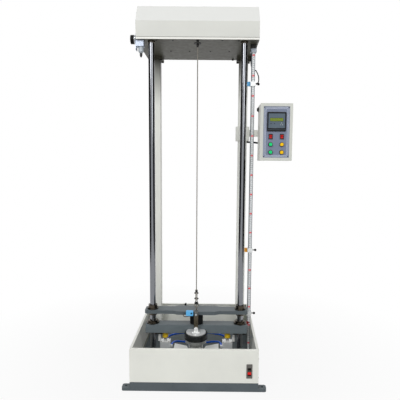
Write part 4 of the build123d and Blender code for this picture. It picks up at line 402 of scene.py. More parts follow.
def hood_finish():
    """Hood paint, with painted light: the slope above the bend is painted a little lighter, as lit from
    above.
    """
    finish = powder_coat("hood_powder_coat", srgb(217, 218, 212))
    # Painted light on the slope above the bend.
    finish.repaint(finish.within("Z", HOOD_BEND, BEYOND_ALL), srgb(221, 222, 219))
    return finish


def box_finish():
    """Control box paint with painted light: the side that faces the machine is painted lighter than the
    front.
    """
    finish = powder_coat("control_box_paint", srgb(207, 209, 202))
    # Painted light on the side that faces the machine.
    finish.repaint(finish.within("X", 0.0, BOX_SIDE), srgb(234, 235, 228))
    return finish


def plate_finish():
    """Top plate in painted shade below, with its bright off-white front edge and a dark line at the joint
    under the hood, painted as the shadow of the gap.
    """
    # Painted shade: the dark grey-olive stands in for shade on the plate's off-white paint.
    finish = powder_coat("top_plate_painted_shade", srgb(78, 77, 66))
    finish.set(Specular_IOR_Level=0.2)
    edge = finish.within("Y", BEFORE_ALL, PLATE_FRONT)
    finish.repaint(edge, srgb(238, 238, 232))
    # Painted shadow of the gap at the joint under the hood.
    joint = finish.maths(edge, finish.within("Z", PLATE_TOP, BEYOND_ALL))
    finish.repaint(joint, srgb(96, 96, 90))
    return finish


def post_finish():
    """Off-white posts with painted shade that darkens them towards the hood."""
    finish = powder_coat("rear_post_paint", OFF_WHITE)
    # Painted shade from the hood above.
    shade = finish.span(finish.axis("Z"), POST_SHADE_LOW, POST_SHADE_HIGH)
    finish.repaint(shade, srgb(84, 84, 78))
    return finish


def tray_side_finish():
    """Off-white outside and on the rim, with painted shade making the panels greyer inside the tray."""
    finish = powder_coat("tray_side_paint", OFF_WHITE)
    between = finish.within("X", -TRAY_INSIDE, TRAY_INSIDE)
    inner = finish.maths(between, finish.within("Z", 0.0, TRAY_RIM))
    # Painted shade on the inner faces below the rim.
    finish.repaint(inner, srgb(112, 116, 110))
    return finish


def slider_finish(name, colour=None):
    """White anodised slider; a sensor block on its left has a colour of its own."""
    finish = bare_metal(name, srgb(222, 224, 224), 0.40, LINES_UP, stain=0.06)
    if colour:
        finish.repaint(finish.within("X", 0.0, SENSOR_SIDE), colour, 0.4, 0.0)
    return finish


def panel_finish():
    """Blue-grey panel foil; the rings and frames that stand proud of it are black."""
    finish = enamel("panel_blue_grey", srgb(110, 119, 141), 0.38, 0.1)
    finish.repaint(finish.within("Y", BEFORE_ALL, PANEL_FRONT - PANEL_PROUD), DARK, 0.25, 0.0)
    return finish


def rocker_finish():
    """Red rocker, with painted shade along its waist and at its two ends."""
    finish = moulded("rocker_red", srgb(200, 6, 10), 0.25, 0.0, 0.25)
    low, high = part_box("rocker_left")
    middle = (low.z + high.z) / 2
    # Painted shade: darker bands at the waist and at both ends.
    for at, half in ((middle, ROCKER_WAIST_HALF), (low.z, ROCKER_FOOT), (high.z, ROCKER_HEAD)):
        finish.repaint(finish.within("Z", at - half, at + half), srgb(74, 4, 8), 0.3)
    return finish


def lens_finish(name, colour, foot_shade_colour, nodes):
    """Push buttons of one colour, each with painted shade along the foot of its lens."""
    finish = moulded(name, colour, 0.22, 0.0, 0.3)
    for node in nodes:
        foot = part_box(node)[0].z
        # Painted shade along the foot of the lens.
        finish.repaint(finish.within("Z", foot, foot + LENS_FOOT), foot_shade_colour, 0.25)
    return finish


def toggle_finish():
    """Dark breaker lever with a red grip at its tip."""
    finish = moulded("breaker_lever", srgb(66, 62, 58), 0.5)
    finish.repaint(finish.within("Y", BEFORE_ALL, TOGGLE_TIP), srgb(222, 24, 16), 0.3)
    return finish


def breaker_finish():
    """Grey breaker bezel, darker inside its window."""
    finish = moulded("breaker_grey", srgb(104, 102, 98), 0.4)
    finish.repaint(finish.within("Y", BREAKER_WINDOW, 0.0), srgb(70, 67, 62), 0.5)
    return finish


def knob_finish():
    """Gloss black regulator knob with a bright band."""
    finish = moulded("knob_black", srgb(9, 9, 10), 0.34, 0.0, 0.12)
    band = finish.within("X", KNOB_BAND_LEFT, KNOB_BAND_RIGHT)
    finish.repaint(band, srgb(190, 194, 198), 0.2, 1.0)
    return finish


def regulator_finish():
    """Cast body on a steel bracket, smoky bowl and black drain."""
    finish = bare_metal("cast_aluminium", srgb(168, 176, 190), 0.45, CAST_GRAIN, stain=0.1)
    finish.repaint(finish.within("Z", 0.0, BOWL_LOW), DARK, 0.4, 0.0)
    bowl = finish.maths(finish.within("Z", BOWL_LOW, BOWL_HIGH), finish.within("X", BRACKET_SIDE, 0.0))
    finish.repaint(bowl, srgb(176, 184, 190), 0.08, 0.0)
    return finish


ROCKERS = ["rocker_left", "rocker_right"]
GREEN_BUTTONS = ["green_button_upper", "green_button_lower"]
YELLOW_BUTTONS = ["yellow_button_upper", "yellow_button_lower"]
BALL_SCREWS = ["upper_thumb_screw", "middle_thumb_screw", "lower_thumb_screw"]
NODE_FINISHES = {
    slate_enamel: ["base_plate", "hoist_beam"],
    drop_beam_painted_light: ["drop_beam"],
    white_coat: ["support_arm"],
    post_finish(): ["rear_posts"],
    tray_panels_painted_light: ["tray_front_panel", "tray_rear_panel"],
    tray_side_finish(): ["tray_side_panels"],
    hood_finish(): ["hood"],
    plate_finish(): ["top_plate"],
    chrome: ["guide_columns"],
    rod_chrome: ["catcher_rod_left", "catcher_rod_right"],
    flange_steel: ["frame_flanges"],
    winch_paint: ["winch_drive"],
    turned_steel: ["winch_drum"],
    disc_painted_light: ["hook_clevis"],
    bright_steel: ["striker_holder"],
    bearing_steel: ["hoist_bearings", "drop_bearings"],
    wire_rope(): ["rope_end"],
    rope_strand: ["hoist_rope"],
    black_enamel: ["hammer_weight"],
    matte_black: ["release_magnet"] + BALL_SCREWS,
    sensor_blue: ["release_sensor"],
    dark_bronze: ["catch_hook"],
    ground_steel: ["striker", "anvil", "specimen_clamp", "clamp_fork"],
    pointer_red: ["height_pointer"],
    black_oxide: ["clamp_screw", "rope_guide"],
    white_enamel: ["side_plates"],
    anodised: ["catcher_bodies"],
    scale_face(): ["height_scale"],
    slider_finish("upper_slider_white", SENSOR_BLUE): ["upper_slider"],
    slider_finish("middle_slider_white", srgb(246, 168, 44)): ["middle_slider"],
    slider_finish("lower_slider_white"): ["lower_slider"],
    bumper_yellow: ["bumper_left", "bumper_right"],
    regulator_finish(): ["air_valve", "air_regulator"],
    tube_blue: ["air_tubes"],
    knob_finish(): ["regulator_knob"],
    box_finish(): ["control_box"],
    panel_finish(): ["control_panel"],
    display_black: ["display_unit"],
    breaker_finish(): ["circuit_breaker"],
    toggle_finish(): ["breaker_toggle"],
    rocker_finish(): ROCKERS,
    # The second colour of each lens is its painted shade along the foot.
    lens_finish("lens_green", srgb(0, 214, 122), srgb(0, 92, 54), GREEN_BUTTONS): GREEN_BUTTONS,
    lens_finish("lens_yellow", srgb(252, 200, 0), srgb(138, 96, 0), YELLOW_BUTTONS): YELLOW_BUTTONS,
    cable_black: ["cables"],
}


def dress_nodes():
    """Every CAD node takes its finish in all of its material slots."""
    for finish, names in NODE_FINISHES.items():
        for name in names:
            for material_slot in NODES[name].material_slots:
                material_slot.material = finish.material


dress_nodes()


def new_piece(name, mesh, body, finish=None):
    """Piece from a mesh in the frame's metres, on its body and in its material slot."""
    if finish:
        mesh.materials.clear()
        mesh.materials.append(finish.material)
    made = placed(name, mesh)
    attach(made, body)
    return made


SMALLEST_CORNER = 0.0002


def finished_mesh(name, work, outwards=True):
    """Mesh from gathered work, with its faces turned outwards where that is wanted."""
    if outwards:
        bmesh.ops.recalc_face_normals(work, faces=work.faces)
    made = bpy.data.meshes.new(name)
    work.to_mesh(made)
    work.free()
    return made


class Form:
    """Worked forms gathered in one mesh."""

    def __init__(self):
        self.work = bmesh.new()

    def block(self, low, high, edge=0.0004):
        """Block between two corners with softened edges."""
        low, high = Vector(low), Vector(high)
        corners = bmesh.ops.create_cube(self.work, size=1.0)["verts"]
        for corner in corners:
            corner.co = (low + high) / 2 + Vector(c * s for c, s in zip(corner.co, high - low))
        edges = list({e for corner in corners for e in corner.link_edges})
        bmesh.ops.bevel(self.work, geom=edges, offset=edge, segments=2, affect="EDGES")

    def turned(self, outline, place, way, steps):
        """Closed form turned round a direction; the outline pairs radius and height."""
        turn = Vector(way).to_track_quat("Z", "Y").to_matrix()
        place = Vector(place)
        rings = []
        for radius, height in outline:
            count = 1 if radius == 0 else steps
            angles = [2 * pi * k / count for k in range(count)]
            spots = [turn @ Vector((radius * cos(a), radius * sin(a), height)) for a in angles]
            rings.append([self.work.verts.new(place + spot) for spot in spots])
        for lower, upper in zip(rings, rings[1:]):
            for k in range(steps):
                loop = [lower[k % len(lower)], lower[(k + 1) % len(lower)],
                        upper[(k + 1) % len(upper)], upper[k % len(upper)]]
                corners = list(dict.fromkeys(loop))
                if len(corners) > 2:
                    self.work.faces.new(corners)

    def frame_line(self, low, high, width, front, depth, corner):
        """Thin rounded frame on a front plane, between two corners in X and Z."""
        outer = rounded_loop(low, high, corner)
        inner = rounded_loop((low[0] + width, low[1] + width), (high[0] - width, high[1] - width),
                             max(corner - width, SMALLEST_CORNER))
        layers = []
        for loop, y in ((outer, front), (outer, front - depth), (inner, front - depth), (inner, front)):
            layers.append([self.work.verts.new((x, y, z)) for x, z in loop])
        count = len(outer)
        for first, second in zip(layers, layers[1:] + layers[:1]):
            for k in range(count):
                following = (k + 1) % count
                self.work.faces.new([first[k], first[following], second[following], second[k]])

    def mesh(self, name):
        """Finished mesh of all the forms."""
        return finished_mesh(name, self.work)


def rounded_loop(low, high, corner, steps=5):
    """Points of a rectangle with round corners, anticlockwise."""
    centres = [(high[0] - corner, high[1] - corner, 0), (low[0] + corner, high[1] - corner, 90),
               (low[0] + corner, low[1] + corner, 180), (high[0] - corner, low[1] + corner, 270)]
    points = []
    for x, z, start in centres:
        for k in range(steps + 1):
            angle = radians(start + 90 * k / steps)
            points.append((x + corner * cos(angle), z + corner * sin(angle)))
    return points


def head_tree():
    """Node tree for screw heads on the points of a mesh, each turned along its stored way."""
    tree = bpy.data.node_groups.new("screw_heads", "GeometryNodeTree")
    sockets = [("Points", "NodeSocketGeometry"), ("Sides", "NodeSocketInt")]
    sockets += [(name, "NodeSocketFloat") for name in ("Radius", "Height", "Rim", "Socket", "Socket depth")]
    sockets += [("Finish", "NodeSocketMaterial")]
    for name, kind in sockets:
        tree.interface.new_socket(name, in_out="INPUT", socket_type=kind)
    tree.interface.new_socket("Heads", in_out="OUTPUT", socket_type="NodeSocketGeometry")
    given = tree.nodes.new("NodeGroupInput").outputs

    def node(kind, inputs, **settings):
        made = tree.nodes.new(kind)
        for key, value in settings.items():
            setattr(made, key, value)
        for key, value in inputs.items():
            if isinstance(value, bpy.types.NodeSocket):
                tree.links.new(value, made.inputs[key])
            else:
                made.inputs[key].default_value = value
        return made.outputs

    bar = node("GeometryNodeMeshCylinder", {"Vertices": given["Sides"], "Radius": given["Radius"],
                                            "Depth": given["Height"]})
    domed = node("GeometryNodeScaleElements", {"Geometry": bar["Mesh"], "Selection": bar["Top"],
                                               "Scale": given["Rim"]})
    ring = node("GeometryNodeExtrudeMesh", {"Mesh": domed["Geometry"], "Selection": bar["Top"],
                                            "Offset Scale": 0.0})
    inner = node("GeometryNodeScaleElements", {"Geometry": ring["Mesh"], "Selection": ring["Top"],
                                               "Scale": given["Socket"]})
    sunk = node("ShaderNodeMath", {0: given["Socket depth"], 1: -1.0}, operation="MULTIPLY")
    hollow = node("GeometryNodeExtrudeMesh", {"Mesh": inner["Geometry"], "Selection": ring["Top"],
                                              "Offset Scale": sunk["Value"]})
    way = node("GeometryNodeInputNamedAttribute", {"Name": "way"}, data_type="FLOAT_VECTOR")
    turn = node("FunctionNodeAlignRotationToVector", {"Vector": way["Attribute"]}, axis="Z")
    heads = node("GeometryNodeInstanceOnPoints", {"Points": given["Points"], "Instance": hollow["Mesh"],
                                                  "Rotation": turn["Rotation"]})
    real = node("GeometryNodeRealizeInstances", {"Geometry": heads["Instances"]})
    painted = node("GeometryNodeSetMaterial", {"Geometry": real["Geometry"], "Material": given["Finish"]})
    tree.links.new(painted["Geometry"], tree.nodes.new("NodeGroupOutput").inputs["Heads"])
    return tree


HEAD_TREE = head_tree()


def screw_heads(name, finish, places, sizes):
    """Equal screw heads on the frame; places pairs each middle of a head with the way it faces."""
    points = bpy.data.meshes.new(name)
    points.from_pydata([place for place, way in places], [], [])
    ways = points.attributes.new("way", "FLOAT_VECTOR", "POINT")
    for index, (place, way) in enumerate(places):
        ways.data[index].vector = way
    holder = placed(name + "_places", points)
    modifier = holder.modifiers.new("heads", "NODES")
    modifier.node_group = HEAD_TREE
    wanted = {key.replace("_", " ").capitalize(): value for key, value in sizes.items()}
    wanted["Finish"] = finish.material
    for item in HEAD_TREE.interface.items_tree:
        if item.in_out == "INPUT" and item.name in wanted:
            modifier[item.identifier] = wanted[item.name]
    new_piece(name, taken_mesh(holder), "frame")


def grid(xs, ys, zs, way, head, sunk=0.0):
    """Every place of the three lists, with the way that a head there faces, seated on its face."""
    way = Vector(way)
    lift = way * (head["height"] / 2 - sunk)
    return [(Vector((x, y, z)) + lift, way) for x in xs for y in ys for z in zs]


def mirrored_pairs(middle, reach):
    """Places before and after a middle, on both sides of the machine."""
    return [side * middle + step for side in (-1, 1) for step in (-reach, reach)]


# Screws: rim is a share of the radius, and socket a share of the rim
TRAY_SCREW = {"sides": 16, "radius": 0.0046, "height": 0.0022,
              "rim": 0.72, "socket": 0.38, "socket_depth": 0.0010}
CAP_SCREW = {"sides": 12, "radius": 0.0036, "height": 0.0022,
             "rim": 0.92, "socket": 0.55, "socket_depth": 0.0012}
PLATE_BOLT = {"sides": 6, "radius": 0.0075, "height": 0.0050,
              "rim": 0.90, "socket": 0.35, "socket_depth": 0.0003}
PANEL_SCREW = {"sides": 12, "radius": 0.0027, "height": 0.0010,
               "rim": 0.80, "socket": 0.50, "socket_depth": 0.0006}
TRAY_SCREW_INSET = 0.012
TRAY_SCREW_HEIGHTS = [0.065, 0.155]
POST_HALF = 0.025
POST_BOLT_REACH = 0.031
PLATE_UNDERSIDE = 1.650
FRONT_ROW_XS, FRONT_ROW_Y = [-0.200, -0.120, 0.120, 0.200], -0.074
REAR_ROW_XS, REAR_ROW_Y = [-0.150, -0.050, 0.060, 0.160], 0.130
CATCHER_HALF = 0.026
CATCHER_SCREW_REACH = 0.020
CATCHER_SCREW_SUNK = 0.0003
PANEL_INSET = 0.015
PANEL_SCREW_INSET = PANEL_INSET + 0.0055


def add_screws():
    """Screws of the tray, top plate, post pads, catchers and control panel."""
    left, right, front, up, down = (-1, 0, 0), (1, 0, 0), (0, -1, 0), (0, 0, 1), (0, 0, -1)
    tray_low, tray_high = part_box("tray_side_panels")
    ys = [tray_low.y + TRAY_SCREW_INSET, tray_high.y - TRAY_SCREW_INSET]
    places = grid([tray_low.x], ys, TRAY_SCREW_HEIGHTS, left, TRAY_SCREW)
    places += grid([tray_high.x], ys, TRAY_SCREW_HEIGHTS, right, TRAY_SCREW)
    screw_heads("tray_screws", turned_steel, places, TRAY_SCREW)

    post_low, post_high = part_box("rear_posts")
    post_y = (post_low.y + post_high.y) / 2
    xs = mirrored_pairs(post_high.x - POST_HALF, POST_BOLT_REACH)
    ys = [post_y - POST_BOLT_REACH, post_y + POST_BOLT_REACH]
    places = grid(xs, ys, [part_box("top_plate")[0].z], down, PLATE_BOLT)
    screw_heads("post_pad_bolts", black_oxide, places, PLATE_BOLT)

    places = grid(FRONT_ROW_XS, [FRONT_ROW_Y], [PLATE_UNDERSIDE], down, TRAY_SCREW)
    places += grid(REAR_ROW_XS, [REAR_ROW_Y], [PLATE_UNDERSIDE], down, TRAY_SCREW)
    screw_heads("plate_screws", black_oxide, places, TRAY_SCREW)

    body_low, body_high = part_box("catcher_bodies")
    body_y = (body_low.y + body_high.y) / 2
    xs = mirrored_pairs(body_high.x - CATCHER_HALF, CATCHER_SCREW_REACH)
    ys = [body_y - CATCHER_SCREW_REACH, body_y + CATCHER_SCREW_REACH]
    places = grid(xs, ys, [body_high.z], up, CAP_SCREW, CATCHER_SCREW_SUNK)
    screw_heads("catcher_screws", turned_steel, places, CAP_SCREW)

    box_low, box_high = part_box("control_box")
    xs = [box_low.x + PANEL_SCREW_INSET, box_high.x - PANEL_SCREW_INSET]
    zs = [box_low.z + PANEL_SCREW_INSET, box_high.z - PANEL_SCREW_INSET]
    places = grid(xs, [PANEL_FRONT], zs, front, PANEL_SCREW)
    screw_heads("panel_screws", black_oxide, places, PANEL_SCREW)


add_screws()


def head_outline(radius, side, top_radius, top, seat=0.0):
    """Outline of a small round head with a bevelled rim; seat is its depth in the piece below."""
    return [(0, -seat), (radius, -seat), (radius, side), (top_radius, top), (0, top)]


# Control panel and display
BORDER_OUTER, BORDER_OUTER_CORNER = 0.0045, 0.004
BORDER_INNER, BORDER_INNER_CORNER = 0.0105, 0.006
BORDER_WIDTH = 0.0014
BORDER_DEPTH = 0.0003
DISPLAY_MARGIN = 0.0005
BEZEL_LOW = 0.009
BEZEL_WIDTH = 0.005
BEZEL_DEPTH = 0.0016
BEZEL_CORNER = 0.003
LIP_TOP = 0.006
LIP_DEPTH = 0.0022
FACE_SIDE = 0.0062
FACE_TOP = 0.0075
FACE_LOW = 0.0150
FACE_DEPTH = 0.0006
LEDGE_SIDE = 0.002
LEDGE_LOW, LEDGE_TOP = 0.0066, 0.0082
LEDGE_DEPTH, LEDGE_EDGE = 0.0005, 0.0003
LCD_LOW = (0.3612, 1.2695)
LCD_HIGH = (0.4240, 1.2840)
LCD_RIM_REACH = 0.0012
LCD_RIM_WIDTH = 0.0013
LCD_RIM_DEPTH = 0.0004
LCD_RIM_CORNER = 0.001
GLASS_DEPTH, GLASS_EDGE = 0.0002, 0.0001
CELL_ROWS, CELLS_IN_ROW = 2, 16
CELL_LEFT, CELL_FOOT = 0.0032, 0.0022
CELL_WIDTH, CELL_HEIGHT = 0.0024, 0.0042
CELL_PITCH, CELL_ROW_PITCH = 0.0036, 0.0060
CELL_DEPTH, CELL_EDGE = 0.00005, 0.00002
PLATE_SEAT = 0.0004
ROUND_KEYS = ((0.3647, 1.2575), (0.3820, 1.2575))
ROUND_KEY = head_outline(0.0022, 0.0006, 0.0014, 0.0010)
ARROW_KEYS = ((0.4167, 1.2600), (0.4118, 1.2515), (0.4216, 1.2515))
ARROW_KEY = head_outline(0.0034, 0.0006, 0.0026, 0.0011)


def plate_on(form, low, high, front, depth, edge=0.0006):
    """Thin plate on a front plane, between two corners in X and Z."""
    form.block((low[0], front - depth, low[1]), (high[0], front + PLATE_SEAT, high[1]), edge)


def panel_piece(name, form, finish):
    """Piece of the display; a piece of the control panel itself gives its own slot."""
    new_piece(name, form.mesh(name), "frame", finish)


def add_border():
    """Double border line on the control panel."""
    box_low, box_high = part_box("control_box")
    border = Form()
    for line, corner in ((BORDER_OUTER, BORDER_OUTER_CORNER), (BORDER_INNER, BORDER_INNER_CORNER)):
        inset = PANEL_INSET + line
        border.frame_line((box_low.x + inset, box_low.z + inset), (box_high.x - inset, box_high.z - inset),
                          BORDER_WIDTH, PANEL_FRONT, BORDER_DEPTH, corner)
    panel_piece("panel_border", border, border_light)


def add_display():
    """Bezel with its lower lip, face, LCD window with its cells, and keys of the display."""
    unit_low, unit_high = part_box("display_unit")
    left, right = unit_low.x + DISPLAY_MARGIN, unit_high.x - DISPLAY_MARGIN
    front = unit_low.y
    bezel = Form()
    bezel.frame_line((left, unit_low.z + BEZEL_LOW), (right, unit_high.z - DISPLAY_MARGIN),
                     BEZEL_WIDTH, front, BEZEL_DEPTH, BEZEL_CORNER)
    plate_on(bezel, (left, unit_low.z + DISPLAY_MARGIN), (right, unit_low.z + LIP_TOP), front, LIP_DEPTH)
    panel_piece("display_bezel", bezel, display_black)

    face = Form()
    plate_on(face, (unit_low.x + FACE_SIDE, unit_low.z + FACE_LOW),
             (unit_high.x - FACE_SIDE, unit_high.z - FACE_TOP), front, FACE_DEPTH)
    plate_on(face, (unit_low.x + LEDGE_SIDE, unit_low.z + LEDGE_LOW),
             (unit_high.x - LEDGE_SIDE, unit_low.z + LEDGE_TOP), front, LEDGE_DEPTH, LEDGE_EDGE)
    panel_piece("display_face", face, display_face_grey)

    face_front = front - FACE_DEPTH
    rim = Form()
    rim.frame_line((LCD_LOW[0] - LCD_RIM_REACH, LCD_LOW[1] - LCD_RIM_REACH),
                   (LCD_HIGH[0] + LCD_RIM_REACH, LCD_HIGH[1] + LCD_RIM_REACH),
                   LCD_RIM_WIDTH, face_front, LCD_RIM_DEPTH, LCD_RIM_CORNER)
    for x, z in ROUND_KEYS:
        rim.turned(ROUND_KEY, (x, face_front, z), (0, -1, 0), steps=16)
    panel_piece("lcd_rim_and_keys", rim, matte_black)

    glass = Form()
    plate_on(glass, LCD_LOW, LCD_HIGH, face_front, GLASS_DEPTH, GLASS_EDGE)
    panel_piece("lcd_window", glass, lcd_olive)

    cells = Form()
    for row in range(CELL_ROWS):
        z = LCD_LOW[1] + CELL_FOOT + row * CELL_ROW_PITCH
        for column in range(CELLS_IN_ROW):
            x = LCD_LOW[0] + CELL_LEFT + column * CELL_PITCH
            plate_on(cells, (x, z), (x + CELL_WIDTH, z + CELL_HEIGHT), face_front - GLASS_DEPTH,
                     CELL_DEPTH, CELL_EDGE)
    panel_piece("lcd_cells", cells, lcd_dark)

    keys = Form()
    for x, z in ARROW_KEYS:
        keys.turned(ARROW_KEY, (x, face_front, z), (0, -1, 0), steps=3)
    panel_piece("display_keys", keys, key_grey)


add_border()
add_display()


# Numbers on the height scale
NUMBER_SIZE = 0.0056
NUMBER_FRONT = 0.00002
NUMBER_SHIFT = 0.0008
FIRST_NUMBER, LAST_NUMBER = 7, 159


def number_mesh(centimetres, place, gathered):
    """Flat mesh digits, stood upright on the face of the scale."""
    curve = bpy.data.curves.new("number", "FONT")
    curve.body = str(centimetres)
    curve.size = NUMBER_SIZE
    curve.align_x = "CENTER"
    curve.align_y = "CENTER"
    curve.resolution_u = 2
    flat = taken_mesh(placed("number", curve))
    flat.transform(Matrix.Translation(place) @ Matrix.Rotation(radians(90), 4, "X"))
    gathered.from_mesh(flat)
    bpy.data.meshes.remove(flat)


def add_scale_numbers():
    """Centimetre numbers up the scale, each tenth one red."""
    low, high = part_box("height_scale")
    middle_x = (low.x + high.x) / 2 + NUMBER_SHIFT
    for name, finish, red in (("scale_numbers", number_ink, False), ("scale_tens", number_red, True)):
        gathered = bmesh.new()
        for centimetres in range(FIRST_NUMBER, LAST_NUMBER + 1):
            if (centimetres % 10 == 0) == red:
                place = Vector((middle_x, SCALE_BAR_FRONT - NUMBER_FRONT, centimetres / 100))
                number_mesh(centimetres, place, gathered)
        mesh = finished_mesh(name, gathered, outwards=False)
        new_piece(name, mesh, "frame", finish)


add_scale_numbers()


# Hoist rope of six strands
STRAND_RADIUS = 0.00088
STRAND_STEPS = 12
STRAND_SIDES = 6


def add_hoist_rope():
    """Six strands laid round a core, in place of the plain rod."""
    low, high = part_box("hoist_rope")
    centre = (low + high) / 2
    circle = (high.x - low.x) / 2 - STRAND_RADIUS
    steps = round((high.z - low.z) / STRAND_LAY * STRAND_STEPS)
    work = bmesh.new()
    for strand in range(STRAND_COUNT):
        rings = []
        for step in range(steps + 1):
            z = low.z + (high.z - low.z) * step / steps
            turn = 2 * pi * (strand / STRAND_COUNT + (z - low.z) / STRAND_LAY)
            out = Vector((cos(turn), sin(turn), 0.0))
            spots = []
            for side in range(STRAND_SIDES):
                angle = 2 * pi * side / STRAND_SIDES
                away = out * (circle + STRAND_RADIUS * cos(angle))
                across = Vector((-out.y, out.x, 0.0)) * STRAND_RADIUS * sin(angle)
                spots.append(work.verts.new(Vector((centre.x, centre.y, z)) + away + across))
            rings.append(spots)
        for lower, upper in zip(rings, rings[1:]):
            for side in range(STRAND_SIDES):
                after = (side + 1) % STRAND_SIDES
                work.faces.new([lower[side], lower[after], upper[after], upper[side]])
        work.faces.new(rings[0])
        work.faces.new(rings[-1])
    mesh = finished_mesh("hoist_wire_rope", work)
    rope = new_piece("hoist_wire_rope", mesh, "frame", rope_strand)
    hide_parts("hoist_rope")
    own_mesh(rope)


add_hoist_rope()


# Small fittings: outlines pair a radius with a height
SEAT = 0.0003
WIRE_RADIUS = 0.0017
BALL_CABLE_RADIUS = 0.0026
BALL_CABLE = ((0.2850, 0.0180, 1.4705), (0.2835, 0.0183, 1.4900), (0.2840, 0.0185, 1.5250),
              (0.2920, 0.0183, 1.5330), (0.3000, 0.0178, 1.5180), (0.3075, 0.0165, 1.5000),
              (0.3082, 0.0158, 1.4830), (0.3070, 0.0150, 1.4705), (0.2990, 0.0145, 1.4640),
              (0.2900, 0.0145, 1.4640))
SENSOR_WIRE = ((-0.0505, -0.1060, 0.2960), (-0.0580, -0.1060, 0.2955), (-0.0660, -0.1000, 0.2880),
               (-0.0660, -0.0860, 0.2740), (-0.0560, -0.0680, 0.2640), (-0.0440, -0.0560, 0.2620),
               (-0.0330, -0.0520, 0.2620))
DOT = head_outline(0.0042, 0.0004, 0.0034, 0.0008, SEAT)
DOT_FROM_RIGHT, DOT_FROM_TOP = 0.0085, 0.010
PIN_HEAD = head_outline(0.0052, 0.0016, 0.0040, 0.0028)
CATCH_PIN = (0, -0.1213, 0.295)
PIVOT_PIN = (0, -0.1162, 0.219)
RIM_CLIP_LEFT, RIM_CLIP_RIGHT = -0.0860, -0.0760
RIM_CLIP_FOOT = 0.1880
RIM_CLIP_THICK = 0.0030
RIM_CLIP_SEAT = 0.0002
RIM_CLIP_HEAD = 0.0028
RIM_CLIP_BACK = 0.0010
EDGE_CLIP_LOW = (0.1815, 0.2900, 1.6425)
EDGE_CLIP_HIGH = (0.1915, 0.3000, PLATE_UNDERSIDE + SEAT)
LOWER_CLIP_LOW = (-0.0088, -0.0795, 0.3350)
LOWER_CLIP_HIGH = (0.0088, -0.0645, 0.3450)
PLUG = ((0, -SEAT), (0.0130, -SEAT), (0.0130, 0.0030), (0.0095, 0.0040), (0.0085, 0.0080),
        (0.0060, 0.0090), (0, 0.0090))
PLUG_FROM_REAR, PLUG_FROM_TOP = 0.018, 0.020
BARREL = ((0, 0), (0.0070, 0), (0.0080, 0.0010), (0.0080, 0.0240), (0.0065, 0.0255), (0.0065, 0.0310),
          (0.0052, 0.0325), (0, 0.0325))
BARREL_OFFSET = 0.0080 - SEAT
BARREL_Y, BARREL_FOOT = -0.0300, 0.1180
TURNED_STEPS = 20


def wire(name, body, points, radius):
    """Round wire along a smooth route."""
    curve = bpy.data.curves.new(name, "CURVE")
    curve.dimensions = "3D"
    curve.bevel_depth = radius
    curve.bevel_resolution = 4
    curve.use_fill_caps = True
    route = curve.splines.new("NURBS")
    route.points.add(len(points) - 1)
    for point, place in zip(route.points, points):
        point.co = (*place, 1.0)
    route.order_u = 3
    route.use_endpoint_u = True
    route.resolution_u = 8
    new_piece(name, taken_mesh(placed(name, curve)), body, cable_black)


def clip_piece(name, body, *blocks, edge=0.0004):
    """Black clip made of one or more blocks."""
    form = Form()
    for low, high in blocks:
        form.block(low, high, edge)
    new_piece(name, form.mesh(name), body, matte_black)


def turned_piece(name, body, finish, outline, places, way):
    """Small turned form at each of the places, as one piece."""
    form = Form()
    for place in places:
        form.turned(outline, place, way, TURNED_STEPS)
    new_piece(name, form.mesh(name), body, finish)


def add_rim_clip():
    """Clip over the rim of the tray's rear panel."""
    low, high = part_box("tray_rear_panel")
    front = low.y - RIM_CLIP_THICK
    clip_piece("rim_clip", "frame",
               ((RIM_CLIP_LEFT, front, RIM_CLIP_FOOT),
                (RIM_CLIP_RIGHT, low.y + RIM_CLIP_SEAT, high.z + RIM_CLIP_HEAD)),
               ((RIM_CLIP_LEFT, front, high.z - RIM_CLIP_SEAT),
                (RIM_CLIP_RIGHT, high.y - RIM_CLIP_BACK, high.z + RIM_CLIP_THICK)))


def add_fittings():
    """Wires, sensor dot, clips, pin heads, box plug and catcher fittings."""
    front, left, up = (0, -1, 0), (-1, 0, 0), (0, 0, 1)
    wire("sensor_wire", "hoist", SENSOR_WIRE, WIRE_RADIUS)
    wire("ball_cable", "slider_upper", BALL_CABLE, BALL_CABLE_RADIUS)

    low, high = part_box("release_sensor")
    place = (high.x - DOT_FROM_RIGHT, low.y, high.z - DOT_FROM_TOP)
    turned_piece("sensor_dot", "hoist", display_black, DOT, [place], front)
    add_rim_clip()
    for name, body, place in (("catch_pin_head", "hoist", CATCH_PIN), ("pivot_pin_head", "drop", PIVOT_PIN)):
        turned_piece(name, body, bright_steel, PIN_HEAD, [place], front)
    clip_piece("plate_edge_clip", "frame", (EDGE_CLIP_LOW, EDGE_CLIP_HIGH), edge=0.0010)

    low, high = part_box("control_box")
    place = (low.x, high.y - PLUG_FROM_REAR, high.z - PLUG_FROM_TOP)
    turned_piece("box_plug", "frame", matte_black, PLUG, [place], left)
    clip_piece("lower_clip", "hoist", (LOWER_CLIP_LOW, LOWER_CLIP_HIGH), edge=0.0015)

    low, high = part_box("catcher_bodies")
    places = [(side * (high.x + BARREL_OFFSET), BARREL_Y, BARREL_FOOT) for side in (-1, 1)]
    turned_piece("catcher_fittings", "frame", white_enamel, BARREL, places, up)


add_fittings()


# Light and floor
SKY_STRENGTH = 0.42
FLAG_SIDE = 2.5
FLAG_NEAR, FLAG_FAR = -3.3, 2.4
FLAG_TOP = 3.2
FLOOR_HALF = 14.0
FLOOR_GREY = 0.55
FLOOR_NEAR, FLOOR_FAR = 0.55, 1.5
FLOOR_SHADED, FLOOR_WHITE = 0.90, 1.0
WHITE_RAYS = ("Is Glossy Ray", "Is Transmission Ray")


